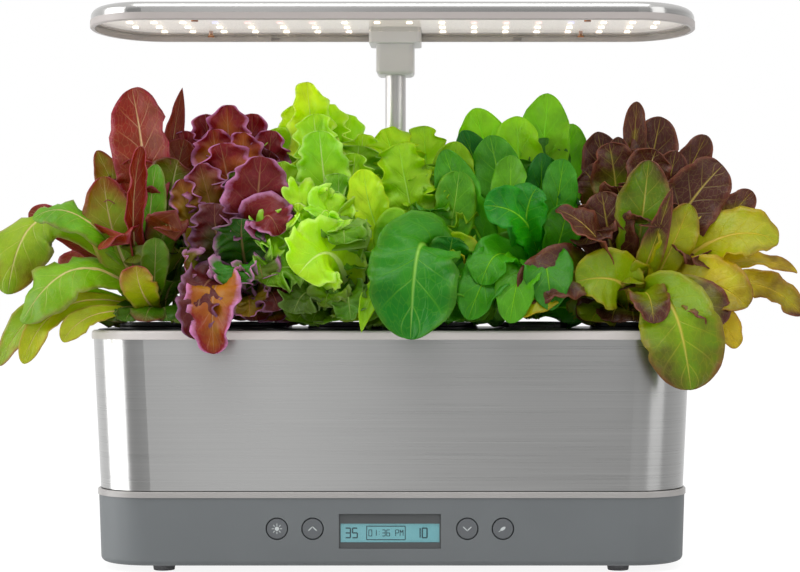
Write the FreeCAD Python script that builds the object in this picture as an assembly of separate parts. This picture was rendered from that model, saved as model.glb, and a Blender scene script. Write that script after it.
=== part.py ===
import FreeCAD, Part
import math
import os

V = FreeCAD.Vector

# Countertop hydroponic garden: a long slim bowl on a powered base, with six pods in its deck
# and a lamp that slides up and down on a post behind them. Millimetres, +Z up, front is -Y.
# The origin is at the bottom centre, between the feet.

# Driving dimensions of the base
base_half_x = 191.3
base_half_y = 54.2
base_corner_r = 36.0
base_draft = 1.3
base_edge_r = 3.5
foot_height = 4.6
foot_r = 7.5
foot_taper = 0.8
foot_x = 146.8
foot_y = 34.0
base_height = 43.7
base_wall = 2.6
band_height = 3.8
band_proud = 0.7
band_wall = 2.4
plate_thickness = 2.4
plate_gap = 1.6
plate_rib_pitch = 46.0
plate_rib_half_x = 9.0
socket_wall = 2.2
platform_inset_x = 22.0
platform_inset_y = 20.0
platform_height = 1.2
screw_r = 1.25
screw_head_r = 2.7
screw_boss_r = 3.4
screw_gap = 0.4
# Screws of the bottom plate: how far in from the base's end and side
screw_inset_x = (26.3, 71.3, 131.3)
screw_inset_y = (36.2, 14.2, 18.2)
screw_side = (-1, 1, -1)
inlet_x = 62.0
inlet_z = 22.0
inlet_r = 4.6
inlet_depth = 13.6
inlet_bore_r = 2.8
inlet_pin_r = 1.05

# Bowl, its steel skin and its rim
rest_gap = 0.3
bowl_height = 97.1
bowl_draft = 4.1
skin_proud = 3.3
skin_thickness = 0.6
bowl_wall = 2.5
rim_height = 5.6
rim_proud = 1.2
rim_width = 8.8
rim_step = 3.4
rim_step_depth = 2.6
rim_edge_r = 1.8

# Deck, pods and the filling port
deck_rise = 0.8
deck_edge_r = 1.5
deck_wall = 2.4
deck_gap = 0.4
pod_pitch = 62.0
pod_stagger = 8.0
pod_count = 6
pod_r = 22.0
pod_flange = 3.4
pod_flange_height = 1.6
pod_collar_height = 1.8
pod_depth = 52.0
pod_taper = 7.0
pod_wall = 1.4
pod_gap = 0.5
pod_collar_wall = 2.6
pod_slots = 6
pod_slot_width = 8.0
port_x = 1.5 * pod_pitch
port_half_x = 18.0
port_half_y = 8.5
lid_thickness = 1.8
lid_lap = 2.5
lid_hinge_gap = 3.0
pod_to_hinge = 5.9
port_y = pod_stagger - pod_r - pod_gap - pod_collar_wall - pod_to_hinge - lid_hinge_gap - lid_lap - port_half_y
lid_pin_r = 1.1
lid_pin_gap = 0.06
lid_step = 0.4
lug_inset = 3.0
lug_half = 1.6
lug_r = 2.4

# Lamp post
post_y = 40.0
post_r = 7.0
post_bore_r = 5.6
lower_post_r = 9.5
lower_post_wall = 1.2
lower_post_top = 250.0
upper_post_bottom = 95.0
post_slack = 0.2
notch_gap = 4.0
lead_r = 4.0

# Lamp hood
hood_bottom = 352.5
hood_half_x = 200.0
hood_half_y = 58.0
hood_end = 42.0
hood_wall = 3.0
hood_rim_height = 4.8
hood_roof = 1.8
roof_bevel = 1.2
cover_height = 7.2
cover_inset = 0.5
cover_edge_r = 5.0
cover_wall = 0.9
lens_recess = 2.8
lens_thickness = 1.4
led_standoff = 1.8
led_board_thickness = 1.4
led_size_x = 3.6
led_size_y = 3.0
led_height = 0.8
led_pitch_x = 21.5
led_pitch_y = 23.3
collar_half_x = 17.5
collar_front = post_y - 18.0
collar_drop = 4.8
neck_half_x = 12.8
neck_front = post_y - 13.0
neck_back = post_y + 14.0
neck_bottom = 327.0
lens_screw_x = 127.0
lens_screw_y = (-35.0, 45.5)
lens_screw_r = 2.3
latch_x = 83.7
latch_half_x = 2.8
roof_rib_pitch = 40.0

# Control panel on the base's front
panel_z = 28.6
button_r = 6.6
button_gap = 0.6
button_x = (-72.0, -49.3, 49.3, 72.0)
button_names = ("button_light", "button_up", "button_down", "button_food")
button_travel = 0.8
display_half_x = 32.5
display_half_z = 11.1
display_z = 27.0
lcd_half_x = 31.6
lcd_half_z = 6.0
lcd_z = 25.7
fit_gap = 0.1
board_setback = 10.7
board_half_x = 88.0
board_half_z = 16.0
board_z = 27.0
board_thickness = 1.6
switch_height = 3.4
switch_half = 3.0
plunger_r = 1.7
plunger_length = 0.8

# Pump
pump_x = -pod_pitch
pump_half_x = 26.0
pump_half_y = 17.0
pump_height = 24.0
chamber_x = pump_x - 12.5
chamber_r = 12.0
chamber_depth = 14.0
shaft_r = 1.2
shaft_gap = 0.05
riser_x = pump_x
riser_r = 4.0

# Lettuces
stem_r = 4.5
crown_gap = 0.6
crown_reach_x = 101.0
crown_reach_y = 92.0
crown_post_gap = 3.5
crown_bottom = 188.0
crown_top = 308.0
# How wide the crown is (share of its reach) at each share of its height
crown_sections = ((0.0, 0.30), (0.16, 0.72), (0.42, 1.0), (0.70, 0.92), (0.90, 0.66), (1.0, 0.36))
crown_side_share = 0.75
crown_sides = 16
crown_squareness = 0.7

# Heights that the rest lines up with
base_top = foot_height + base_height
band_top = base_top + band_height
bowl_bottom = base_top + rest_gap
skin_bottom = band_top + 0.5
rim_bottom = skin_bottom - 0.5 + bowl_height
rim_top = rim_bottom + rim_height
deck_bottom = rim_top - rim_step_depth + rest_gap
deck_top = rim_top + deck_rise
collar_top = deck_top + pod_collar_height
flange_top = collar_top + rest_gap + pod_flange_height
hood_frame_top = hood_bottom + hood_rim_height
lens_bottom = hood_bottom + lens_recess
lens_top = lens_bottom + lens_thickness
board_bottom = lens_top + led_standoff
board_top = board_bottom + led_board_thickness
roof_top = board_top + hood_roof
rim_half_x = base_half_x + skin_proud + rim_proud
rim_half_y = base_half_y + skin_proud + rim_proud - 0.7
skin_half_x = rim_half_x - rim_proud
skin_half_y = rim_half_y - rim_proud + 0.6
notch_r = lower_post_r + notch_gap
board_front = board_setback - base_half_y
plate_screws = [(side * (base_half_x - dx), way * (base_half_y - dy))
                for dx, dy, way in zip(screw_inset_x, screw_inset_y, screw_side) for side in (-1, 1)]


def rounded_wire(half_x, half_y, radius, z):
    r = min(radius, half_x - 0.1, half_y - 0.1)
    k = r * (1 - math.sqrt(0.5))
    edges = []
    corners = [(1, -1), (1, 1), (-1, 1), (-1, -1)]
    for i, (sx, sy) in enumerate(corners):
        along_y = V(sx * half_x, sy * (half_y - r), z)
        along_x = V(sx * (half_x - r), sy * half_y, z)
        middle = V(sx * (half_x - k), sy * (half_y - k), z)
        first, last = (along_x, along_y) if i % 2 == 0 else (along_y, along_x)
        edges.append((first, middle, last))
    lines = []
    for i, (first, middle, last) in enumerate(edges):
        lines.append(Part.Arc(first, middle, last).toShape())
        following = edges[(i + 1) % 4][0]
        lines.append(Part.LineSegment(last, following).toShape())
    return Part.Wire(lines)


def prism(wire, height):
    return Part.Face(wire).extrude(V(0, 0, height))


def slab(half_x, half_y, radius, z, height):
    return prism(rounded_wire(half_x, half_y, radius, z), height)


def drafted(bottom, top, z0, z1):
    """Solid between two rounded rectangles, each (half_x, half_y, corner radius)."""
    return Part.makeLoft([rounded_wire(*bottom, z0), rounded_wire(*top, z1)], True, True)


def cylinder(x, y, z, r, height, axis=V(0, 0, 1)):
    return Part.makeCylinder(r, height, V(x, y, z), axis)


def tube(x, y, z, outer_r, inner_r, height):
    return cylinder(x, y, z, outer_r, height).cut(cylinder(x, y, z - 1, inner_r, height + 2))


def box(x0, x1, y0, y1, z0, z1):
    return Part.makeBox(x1 - x0, y1 - y0, z1 - z0, V(x0, y0, z0))


def rounded_box(x0, x1, y0, y1, z0, z1, r):
    wire = rounded_wire((x1 - x0) / 2, (y1 - y0) / 2, r, z0)
    solid = prism(wire, z1 - z0)
    solid.translate(V((x0 + x1) / 2, (y0 + y1) / 2, 0))
    return solid


def fuse(shapes):
    out = shapes[0]
    for s in shapes[1:]:
        out = out.fuse(s)
    return out.removeSplitter()


def edges_at(shape, z, tolerance=0.02):
    found = []
    for e in shape.Edges:
        b = e.BoundBox
        if abs(b.ZMin - z) < tolerance and abs(b.ZMax - z) < tolerance:
            found.append(e)
    return found


def notch(r, z0, z1):
    """U-shaped slot round the lamp post, open to the back."""
    back = rim_half_y + 20
    half = box(-r, r, post_y, back, z0, z1)
    return cylinder(0, post_y, z0, r, z1 - z0).fuse(half)


def save(name, shape):
    solids = shape.Solids
    if not solids:
        raise ValueError(name + " has no solid")
    out = solids[0] if len(solids) == 1 else Part.makeCompound(solids)
    out.exportStep("parts/" + name + ".step")


def base_outline(inset, z):
    share = (z - foot_height) / base_height
    shrink = base_draft * (1 - share) + inset
    return (base_half_x - shrink, base_half_y - shrink, base_corner_r - inset)


def panel_front(z):
    """How far forward the base's drafted front face is at height z."""
    return -base_outline(0, z)[1]


def base_housing():
    top = base_top
    body = drafted(base_outline(0, foot_height), base_outline(0, top), foot_height, top)
    body = body.makeFillet(base_edge_r, edges_at(body, foot_height))
    low = foot_height - 1
    high = top - base_wall
    hollow = drafted(base_outline(base_wall, low), base_outline(base_wall, high), low, high)
    body = body.cut(hollow)
    socket = cylinder(0, post_y, foot_height + plate_thickness, lower_post_r + socket_wall,
                      base_height - plate_thickness - 0.5)
    body = body.fuse(socket)
    body = body.cut(cylinder(0, post_y, foot_height, lower_post_r + post_slack, 100))
    platform = slab(base_half_x - platform_inset_x, base_half_y - platform_inset_y, base_corner_r - 14,
                    top - 0.01, platform_height)
    platform = platform.cut(notch(notch_r + 3, top - 1, top + 5))
    body = body.fuse(platform)
    depth = 12
    y0 = panel_front(panel_z) - 4
    for x in button_x:
        body = body.cut(cylinder(x, y0, panel_z, button_r + button_gap, depth, V(0, 1, 0)))
    body = body.cut(box(-display_half_x, display_half_x, y0, y0 + depth,
                        display_z - display_half_z, display_z + display_half_z))
    inlet_back = base_half_y - 12
    body = body.cut(cylinder(inlet_x, inlet_back, inlet_z, inlet_r + 0.2, 20, V(0, 1, 0)))
    for x, y in plate_screws:
        boss = cylinder(x, y, foot_height + plate_thickness, screw_boss_r, base_height - base_wall)
        boss = boss.common(hollow)
        body = body.fuse(boss).cut(cylinder(x, y, foot_height, screw_r + 0.05, 14))
    return body.removeSplitter()


def bottom_plate():
    z = foot_height
    outline = base_outline(base_wall + plate_gap, z)
    plate = slab(*outline, z, plate_thickness - 0.1)
    for x, y in plate_screws:
        plate = plate.cut(cylinder(x, y, z - 1, screw_r + screw_gap, 10))
        plate = plate.cut(cylinder(x, y, z - 1, screw_head_r + screw_gap, 2.2))
    for i in range(-3, 4):
        x = i * plate_rib_pitch
        plate = plate.cut(box(x - plate_rib_half_x, x + plate_rib_half_x, -2, 2, z - 1, z + 1))
    return plate


def bottom_screws():
    out = []
    z = foot_height
    for x, y in plate_screws:
        head = cylinder(x, y, z + 0.1, screw_head_r, 1.0)
        out.append(head.fuse(cylinder(x, y, z + 0.1, screw_r, 9)))
    return Part.makeCompound(out)


def rubber_feet():
    out = []
    for sx in (-1, 1):
        for sy in (-1, 1):
            out.append(cone_z(sx * foot_x, sy * foot_y, 0, foot_r - foot_taper, foot_height - 0.05, foot_r))
    return Part.makeCompound(out)


def trim_band():
    outline = base_outline(0, base_top)
    outer = slab(outline[0] + band_proud, outline[1] + band_proud, base_corner_r + band_proud,
                 base_top, band_height)
    outer = outer.makeFillet(0.8, edges_at(outer, base_top + band_height))
    inner = slab(outline[0] + band_proud - band_wall, outline[1] + band_proud - band_wall,
                 base_corner_r + band_proud - band_wall, base_top - 1, band_height + 2)
    return outer.cut(inner)


def display_parts():
    front = panel_front(display_z) + 0.9
    bezel = box(-display_half_x + fit_gap, display_half_x - fit_gap, front, front + 4,
                display_z - display_half_z + fit_gap, display_z + display_half_z - fit_gap)
    hole = box(-lcd_half_x, lcd_half_x, front - 1, front + 5, lcd_z - lcd_half_z, lcd_z + lcd_half_z)
    bezel = bezel.cut(hole)
    half_x = lcd_half_x - fit_gap
    half_z = lcd_half_z - fit_gap
    window = box(-half_x, half_x, front + 0.1, front + 1.1, lcd_z - half_z, lcd_z + half_z)
    lcd = box(-half_x, half_x, front + 1.2, front + 3.8, lcd_z - half_z, lcd_z + half_z)
    return bezel, window, lcd


def control_board():
    return box(-board_half_x, board_half_x, board_front, board_front + board_thickness,
               board_z - board_half_z, board_z + board_half_z)


def tact_switches():
    out = []
    for x in button_x:
        body = box(x - switch_half, x + switch_half, board_front - switch_height, board_front,
                   panel_z - switch_half, panel_z + switch_half)
        plunger = cylinder(x, board_front - switch_height - plunger_length, panel_z, plunger_r,
                           plunger_length + 0.2, V(0, 1, 0))
        out.append(body.fuse(plunger))
    return Part.makeCompound(out)


def button(x):
    front = panel_front(panel_z)
    back = board_front - switch_height - plunger_length - button_travel - 0.15
    cap = cylinder(x, front + 0.2, panel_z, button_r, 4.4, V(0, 1, 0))
    rim = [e for e in cap.Edges if abs(e.BoundBox.YMax - (front + 0.2)) < 0.02]
    cap = cap.makeFillet(0.7, rim)
    flange_y = front + base_wall + 0.9
    flange = cylinder(x, flange_y, panel_z, button_r + 1.0, 1.1, V(0, 1, 0))
    stem = cylinder(x, front + 2, panel_z, 2.2, back - front - 2, V(0, 1, 0))
    return fuse([cap, flange, stem])


def power_board():
    z = foot_height + plate_thickness + 5
    board = box(20, 110, -20, 22, z, z + 1.6)
    coil = cylinder(44, 0, z + 1.5, 7, 9)
    regulator = box(70, 84, -10, 6, z + 1.5, z + 9)
    capacitor = cylinder(98, 6, z + 1.5, 5, 14)
    return fuse([board, coil, regulator, capacitor])


def dc_inlet():
    face = base_outline(0, inlet_z)[1]
    back = face - 0.4 - inlet_depth
    body = cylinder(inlet_x, back, inlet_z, inlet_r, inlet_depth, V(0, 1, 0))
    body = body.cut(cylinder(inlet_x, back + 4, inlet_z, inlet_bore_r, 20, V(0, 1, 0)))
    return body.fuse(cylinder(inlet_x, back + 2, inlet_z, inlet_pin_r, inlet_depth - 3.1, V(0, 1, 0)))


def lower_post():
    z = foot_height + plate_thickness + 0.1
    post = tube(0, post_y, z, lower_post_r, lower_post_r - lower_post_wall, lower_post_top - z)
    return post


def post_guide_bush():
    inner = post_r + post_slack
    outer = lower_post_r - lower_post_wall
    sleeve = tube(0, post_y, lower_post_top - 24, outer - 0.05, inner, 24.1)
    collar = tube(0, post_y, lower_post_top + 0.05, lower_post_r, inner, 3.0)
    collar = collar.makeChamfer(0.8, [e for e in edges_at(collar, lower_post_top + 3.05)
                                      if e.BoundBox.XLength > 2 * post_r + 2])
    return fuse([sleeve, collar])


def lamp_lead():
    z = foot_height + plate_thickness + 3
    return cylinder(0, post_y, z, lead_r, neck_bottom + 16 - z)


def upper_post():
    top = neck_bottom + 24
    return tube(0, post_y, upper_post_bottom, post_r, post_bore_r, top - upper_post_bottom)


def post_friction_shoe():
    outer = lower_post_r - lower_post_wall - 0.15
    sleeve = tube(0, post_y, upper_post_bottom - 6, outer, post_bore_r - 0.4, 5.95)
    plug = tube(0, post_y, upper_post_bottom - 1, post_bore_r - 0.05, post_bore_r - 0.4 - 0.6, 9)
    slit = box(-0.8, 0.8, post_y - 20, post_y, upper_post_bottom - 7, upper_post_bottom - 0.4)
    return fuse([sleeve, plug]).cut(slit)


def hood_wire(inset, z):
    """Outline of the hood: straight sides and half-elliptical ends."""
    a = hood_end - inset
    b = hood_half_y - inset
    cx = hood_half_x - hood_end
    lines = []
    for side in (1, -1):
        top = V(side * cx, b, z)
        mid = V(side * (cx + a), 0, z)
        bottom = V(side * cx, -b, z)
        ellipse = Part.Ellipse(top, mid, V(side * cx, 0, z))
        ends = [bottom, top] if side > 0 else [top, bottom]
        u0 = ellipse.parameter(ends[0])
        u1 = ellipse.parameter(ends[1])
        arc = Part.ArcOfEllipse(ellipse, u0, u1)
        if arc.value((arc.FirstParameter + arc.LastParameter) / 2).x * side < cx:
            arc = Part.ArcOfEllipse(ellipse, u1, u0)
        lines.append(arc.toShape())
        lines.append(Part.LineSegment(V(side * cx, side * b, z), V(-side * cx, side * b, z)).toShape())
    return Part.Wire(Part.__sortEdges__(lines))


def hood_frame():
    body = prism(hood_wire(0, hood_bottom), hood_rim_height)
    body = body.makeChamfer(0.7, edges_at(body, hood_bottom))
    upper = prism(hood_wire(cover_inset + cover_wall + 0.3, hood_frame_top - 0.01), roof_top - hood_frame_top)
    upper = upper.makeChamfer(roof_bevel, edges_at(upper, roof_top - 0.01))
    body = body.fuse(upper)
    body = body.cut(prism(hood_wire(hood_wall, hood_bottom - 1), board_top + 1 - hood_bottom))
    ledge = prism(hood_wire(hood_wall - 0.5, lens_top + 0.05), board_bottom - lens_top - 0.1)
    ledge = ledge.cut(prism(hood_wire(hood_wall + 2.0, lens_top - 1), 10))
    ledge = ledge.cut(box(-collar_half_x - 0.4, collar_half_x + 0.4, 0, hood_half_y - hood_wall,
                          lens_top - 1, board_top))
    body = body.fuse(ledge)
    for side in (-1, 1):
        x = side * latch_x
        body = body.cut(box(x - latch_half_x, x + latch_half_x, hood_half_y - hood_wall - 1,
                            hood_half_y - 1.2, hood_bottom + 0.8, lens_bottom))
    for i in range(-4, 5):
        x = i * roof_rib_pitch
        body = body.fuse(box(x - 0.7, x + 0.7, -44, 20, roof_top - 0.02, roof_top + 1.4))
    return body.removeSplitter()


def hood_cover():
    body = prism(hood_wire(cover_inset, hood_frame_top + 0.1), cover_height)
    top = hood_frame_top + 0.1 + cover_height
    body = body.makeFillet(cover_edge_r, edges_at(body, top))
    inner = prism(hood_wire(cover_inset + cover_wall, hood_frame_top - 1), cover_height + 1.1 - cover_wall)
    inner = inner.makeChamfer(cover_edge_r - cover_wall - 0.9, edges_at(inner, top - cover_wall))
    return body.cut(inner)


def collar_hole(gap, z0, z1):
    return rounded_box(-collar_half_x - gap, collar_half_x + gap, collar_front - gap,
                       hood_half_y - hood_wall + 4, z0, z1, 3.5)


def led_lens():
    body = prism(hood_wire(hood_wall + 0.15, lens_bottom), lens_thickness)
    body = body.cut(collar_hole(0.2, lens_bottom - 1, lens_top + 1))
    for x, y in lens_screw_places():
        body = body.cut(cylinder(x, y, lens_bottom - 1, 1.5, 10))
    return body


def lens_screw_places():
    return [(side * lens_screw_x, y) for side in (-1, 1) for y in lens_screw_y]


def lens_screws():
    out = []
    for x, y in lens_screw_places():
        head = cylinder(x, y, lens_bottom - 1.1, lens_screw_r, 1.05)
        out.append(head.fuse(cylinder(x, y, lens_bottom - 0.2, 1.3, 4.6)))
    return Part.makeCompound(out)


def led_board():
    body = prism(hood_wire(hood_wall + 0.4, board_bottom), led_board_thickness - 0.05)
    body = body.cut(collar_hole(0.3, board_bottom - 1, board_top + 1))
    for x, y in lens_screw_places():
        body = body.cut(cylinder(x, y, board_bottom - 1, 1.5, 10))
    return body


def led_places():
    """(x, y, colour) of every LED: a grid whose end columns are pulled in with the hood's ends."""
    out = []
    for side in (-1, 1):
        for n in range(1, 10):
            x = led_pitch_x * (n - 0.5)
            rows = (-2, -1, 0, 1, 2)
            if n == 8:
                x -= 2.2
            if n == 9:
                x -= 7.7
                rows = (-1, 0, 1)
            for row in rows:
                if n == 1 and row > 0:
                    continue
                colour = "white"
                if row == 0 and n in (3, 4, 5):
                    colour = "red"
                if row == 0 and n == 6:
                    colour = "blue"
                out.append((side * x, row * led_pitch_y, colour))
    return out


def leds(colour):
    out = []
    for x, y, c in led_places():
        if c == colour:
            out.append(box(x - led_size_x / 2, x + led_size_x / 2, y - led_size_y / 2, y + led_size_y / 2,
                           board_bottom - led_height, board_bottom - 0.02))
    return Part.makeCompound(out)


def hood_bracket():
    back = hood_half_y - hood_wall - 0.3
    collar = rounded_box(-collar_half_x, collar_half_x, collar_front, back,
                         hood_bottom - collar_drop, board_top - 0.1, 3.0)
    neck = rounded_box(-neck_half_x, neck_half_x, neck_front, neck_back, neck_bottom,
                       hood_bottom - collar_drop + 1, 4.0)
    neck = neck.makeFillet(3.0, edges_at(neck, neck_bottom))
    body = fuse([collar, neck])
    body = body.makeFillet(0.8, [e for e in edges_at(body, hood_bottom - collar_drop)
                                 if e.BoundBox.XLength > 2 * neck_half_x + 2 or e.BoundBox.YMin < collar_front + 4])
    body = body.cut(cylinder(0, post_y, neck_bottom - 1, post_r + 0.05, 25.2))
    return body.cut(cylinder(0, post_y, neck_bottom, post_bore_r - 0.6, 60))


def bowl_outline(inset, z):
    share = (rim_bottom - z) / bowl_height
    shrink = bowl_draft * share + inset
    return (skin_half_x - shrink, skin_half_y - shrink, base_corner_r + 2 - inset)


def bowl_solid(inset, z0, z1):
    return drafted(bowl_outline(inset, z0), bowl_outline(inset, z1), z0, z1)


def bowl_wrap():
    outer = bowl_solid(0, skin_bottom, rim_bottom)
    inner = bowl_solid(skin_thickness, skin_bottom - 1, rim_bottom + 1)
    skin = outer.cut(inner)
    return skin.cut(box(-notch_r - 3, notch_r + 3, 20, 90, skin_bottom - 5, rim_bottom + 5))


def bowl_liner():
    inset = skin_thickness + 0.15
    top = rim_bottom - 0.05
    body = bowl_solid(inset, bowl_bottom + 4, top)
    foot = slab(base_half_x - 8, base_half_y - 8, base_corner_r - 8, bowl_bottom, 5)
    body = body.fuse(foot)
    recess = slab(base_half_x - 20, base_half_y - 18, base_corner_r - 12, bowl_bottom - 1, 2.9)
    body = body.cut(notch(notch_r, bowl_bottom - 2, top + 2))
    floor = bowl_bottom + 1.9 + bowl_wall
    cavity = bowl_solid(inset + bowl_wall, floor, top + 2)
    cavity = cavity.cut(notch(notch_r + bowl_wall, floor - 1, top + 3))
    return body.cut(recess).cut(cavity).removeSplitter()


def bowl_rim():
    outer = slab(rim_half_x, rim_half_y, base_corner_r + 2, rim_bottom, rim_height)
    outer = outer.makeFillet(rim_edge_r, edges_at(outer, rim_top))
    outer = outer.cut(notch(notch_r - 0.4, rim_bottom - 1, rim_top + 1))
    hole = slab(rim_half_x - rim_width, rim_half_y - rim_width, base_corner_r + 2 - rim_width,
                rim_bottom - 1, rim_height + 2)
    hole = hole.cut(notch(notch_r + rim_width - 3, rim_bottom - 2, rim_top + 2))
    step = slab(rim_half_x - rim_step, rim_half_y - rim_step, base_corner_r + 2 - rim_step,
                rim_top - rim_step_depth, rim_step_depth + 2)
    step = step.cut(notch(notch_r + 2.2, rim_bottom - 2, rim_top + 4))
    return outer.cut(hole).cut(step)


def pod_place(i):
    x = (i - (pod_count - 1) / 2) * pod_pitch
    back = i in (1, pod_count - 2)
    return x, (pod_stagger if back else -pod_stagger)


def pod_hole_r():
    return pod_r + pod_gap


def grow_deck():
    inset = rim_step + deck_gap
    half_x = rim_half_x - inset
    half_y = rim_half_y - inset
    r = base_corner_r + 2 - inset
    body = slab(half_x, half_y, r, deck_bottom, deck_top - deck_bottom)
    body = body.makeFillet(deck_edge_r, edges_at(body, deck_top))
    under = slab(half_x - 7.5, half_y - 7.5, r - 7.5, deck_bottom - 1, deck_top - deck_wall - deck_bottom + 1)
    under = under.cut(notch(notch_r + 2.6 + 6, deck_bottom - 2, deck_top))
    body = body.cut(under)
    for i in range(pod_count):
        x, y = pod_place(i)
        collar = cylinder(x, y, deck_bottom + 1.5, pod_hole_r() + pod_collar_wall, collar_top - deck_bottom - 1.5)
        collar = collar.makeChamfer(0.8, edges_at(collar, collar_top))
        body = body.fuse(collar)
    for i in range(pod_count):
        x, y = pod_place(i)
        body = body.cut(cylinder(x, y, deck_bottom - 2, pod_hole_r(), 20))
    lap = lid_lap + deck_gap
    seat = rounded_box(port_x - port_half_x - lap, port_x + port_half_x + lap,
                       port_y - port_half_y - lap, lid_hinge_y() - 2.2,
                       deck_top - lid_thickness + lid_step, deck_top + 2, 3.0)
    body = body.cut(seat)
    body = body.cut(rounded_box(port_x - port_half_x, port_x + port_half_x, port_y - port_half_y,
                                port_y + port_half_y, deck_bottom - 2, deck_top + 2, 3.0))
    for side in (-1, 1):
        x = port_x + side * (port_half_x - lug_inset)
        lug = box(x - lug_half, x + lug_half, lid_hinge_y() - lug_r, lid_hinge_y() + lug_r,
                  deck_top - 1, lid_hinge_z())
        lug = lug.fuse(cylinder(x - lug_half, lid_hinge_y(), lid_hinge_z(), lug_r, 2 * lug_half, V(1, 0, 0)))
        body = body.fuse(lug)
        body = body.cut(cylinder(x - 2, lid_hinge_y(), lid_hinge_z(), lid_pin_r + lid_pin_gap, 4, V(1, 0, 0)))
    body = body.cut(notch(notch_r + 2.6, deck_bottom - 3, deck_top + 5))
    return body.removeSplitter()


def lid_hinge_y():
    return port_y + port_half_y + lid_lap + lid_hinge_gap


def lid_hinge_z():
    return deck_top + 2.0


def fill_lid():
    z0 = deck_top - lid_thickness + lid_step + rest_gap
    z1 = z0 + lid_thickness
    y1 = lid_hinge_y() - 2.9
    plate = rounded_box(port_x - port_half_x - lid_lap, port_x + port_half_x + lid_lap,
                        port_y - port_half_y - lid_lap, y1, z0, z1, 2.8)
    plate = plate.makeFillet(0.7, edges_at(plate, z1))
    knuckle_half = port_half_x - lug_inset - lug_half - 0.6
    arm = box(port_x - knuckle_half, port_x + knuckle_half, y1 - 3, lid_hinge_y(), deck_top + rest_gap,
              deck_top + 1.7)
    knuckle = cylinder(port_x - knuckle_half, lid_hinge_y(), lid_hinge_z(), 1.9, 2 * knuckle_half, V(1, 0, 0))
    pin_half = port_half_x - 0.8
    pin = cylinder(port_x - pin_half, lid_hinge_y(), lid_hinge_z(), lid_pin_r, 2 * pin_half, V(1, 0, 0))
    grip = cylinder(port_x - 7, port_y - port_half_y + 1.5, z1, 1.2, 14, V(1, 0, 0))
    return fuse([plate, arm, knuckle, pin, grip])


def cone_z(x, y, z0, r0, z1, r1):
    """Tapered round solid from radius r0 at z0 up to radius r1 at z1."""
    return Part.makeCone(r0, r1, z1 - z0, V(x, y, z0), V(0, 0, 1))


def basket(i):
    x, y = pod_place(i)
    top = flange_top - pod_flange_height
    bottom = top - pod_depth
    low_r = pod_r - pod_taper
    body = cone_z(x, y, bottom, low_r, top + 0.01, pod_r)
    body = body.fuse(cylinder(x, y, top, pod_r + pod_flange, pod_flange_height))
    body = body.cut(cone_z(x, y, bottom + pod_wall, low_r - pod_wall + 0.2, flange_top + 1, pod_r - pod_wall + 0.2))
    body = body.cut(cylinder(x, y, bottom - 1, low_r - 5.0, 5))
    for k in range(pod_slots // 2):
        angle = 360.0 / pod_slots * k
        slot = box(-pod_r - 5, pod_r + 5, -pod_slot_width / 2, pod_slot_width / 2, bottom + 6, top - 14)
        slot.rotate(V(0, 0, 0), V(0, 0, 1), angle)
        slot.translate(V(x, y, 0))
        body = body.cut(slot)
    return body


def sponge(i):
    x, y = pod_place(i)
    top = flange_top - 3.0
    bottom = flange_top - pod_flange_height - pod_depth + pod_wall + 0.4
    low_r = pod_r - pod_taper - pod_wall - 0.6
    body = cone_z(x, y, bottom, low_r, top, pod_r - pod_wall - 0.8)
    return body.cut(cylinder(x, y, top - 14, stem_r + 0.2, 20))


def oval_points(centre_x, centre_y, half_x, half_y, z):
    """Points of a squarish oval, for the flat-sided crowns."""
    points = []
    for k in range(crown_sides):
        angle = 2 * math.pi * (k + 0.5) / crown_sides
        c = math.cos(angle)
        s = math.sin(angle)
        x = math.copysign(abs(c) ** crown_squareness, c)
        y = math.copysign(abs(s) ** crown_squareness, s)
        points.append(V(centre_x + half_x * x, centre_y + half_y * y, z))
    return points


def faceted(rings):
    """Closed solid of triangles through rings of points, with a flat face at each end."""
    faces = []
    for lower, upper in zip(rings, rings[1:]):
        n = len(lower)
        for k in range(n):
            a, b = lower[k], lower[(k + 1) % n]
            c, d = upper[k], upper[(k + 1) % n]
            faces.append(Part.Face(Part.makePolygon([a, b, d, a])))
            faces.append(Part.Face(Part.makePolygon([a, d, c, a])))
    faces.append(Part.Face(Part.makePolygon(rings[0] + rings[0][:1])))
    faces.append(Part.Face(Part.makePolygon(rings[-1] + rings[-1][:1])))
    return Part.Solid(Part.Shell(faces))


def crown(i):
    """Plain solid of one lettuce: a stem in the sponge and a rounded crown, kept off its neighbours."""
    x, y = pod_place(i)
    low_x = x - pod_pitch / 2 + crown_gap / 2
    high_x = x + pod_pitch / 2 - crown_gap / 2
    low_y = -crown_reach_y
    high_y = crown_reach_y
    if i == 0:
        low_x = x - crown_reach_x
    if i == pod_count - 1:
        high_x = x + crown_reach_x
    if abs(x) < pod_pitch:
        high_y = post_y - lower_post_r - crown_post_gap
    height = crown_top - crown_bottom
    middle_x = (low_x + high_x) / 2
    middle_y = (low_y + high_y) / 2
    rings = []
    for rise, spread in crown_sections:
        half_x = (high_x - low_x) / 2 * (1 - (1 - spread) * crown_side_share)
        half_y = (high_y - low_y) / 2 * spread
        rings.append(oval_points(x + (middle_x - x) * spread, y + (middle_y - y) * spread,
                                 half_x, half_y, crown_bottom + rise * height))
    head = faceted(rings)
    stem = cylinder(x, y, flange_top - 16, stem_r, crown_bottom + 6 - flange_top + 16)
    return head.fuse(stem)


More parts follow.
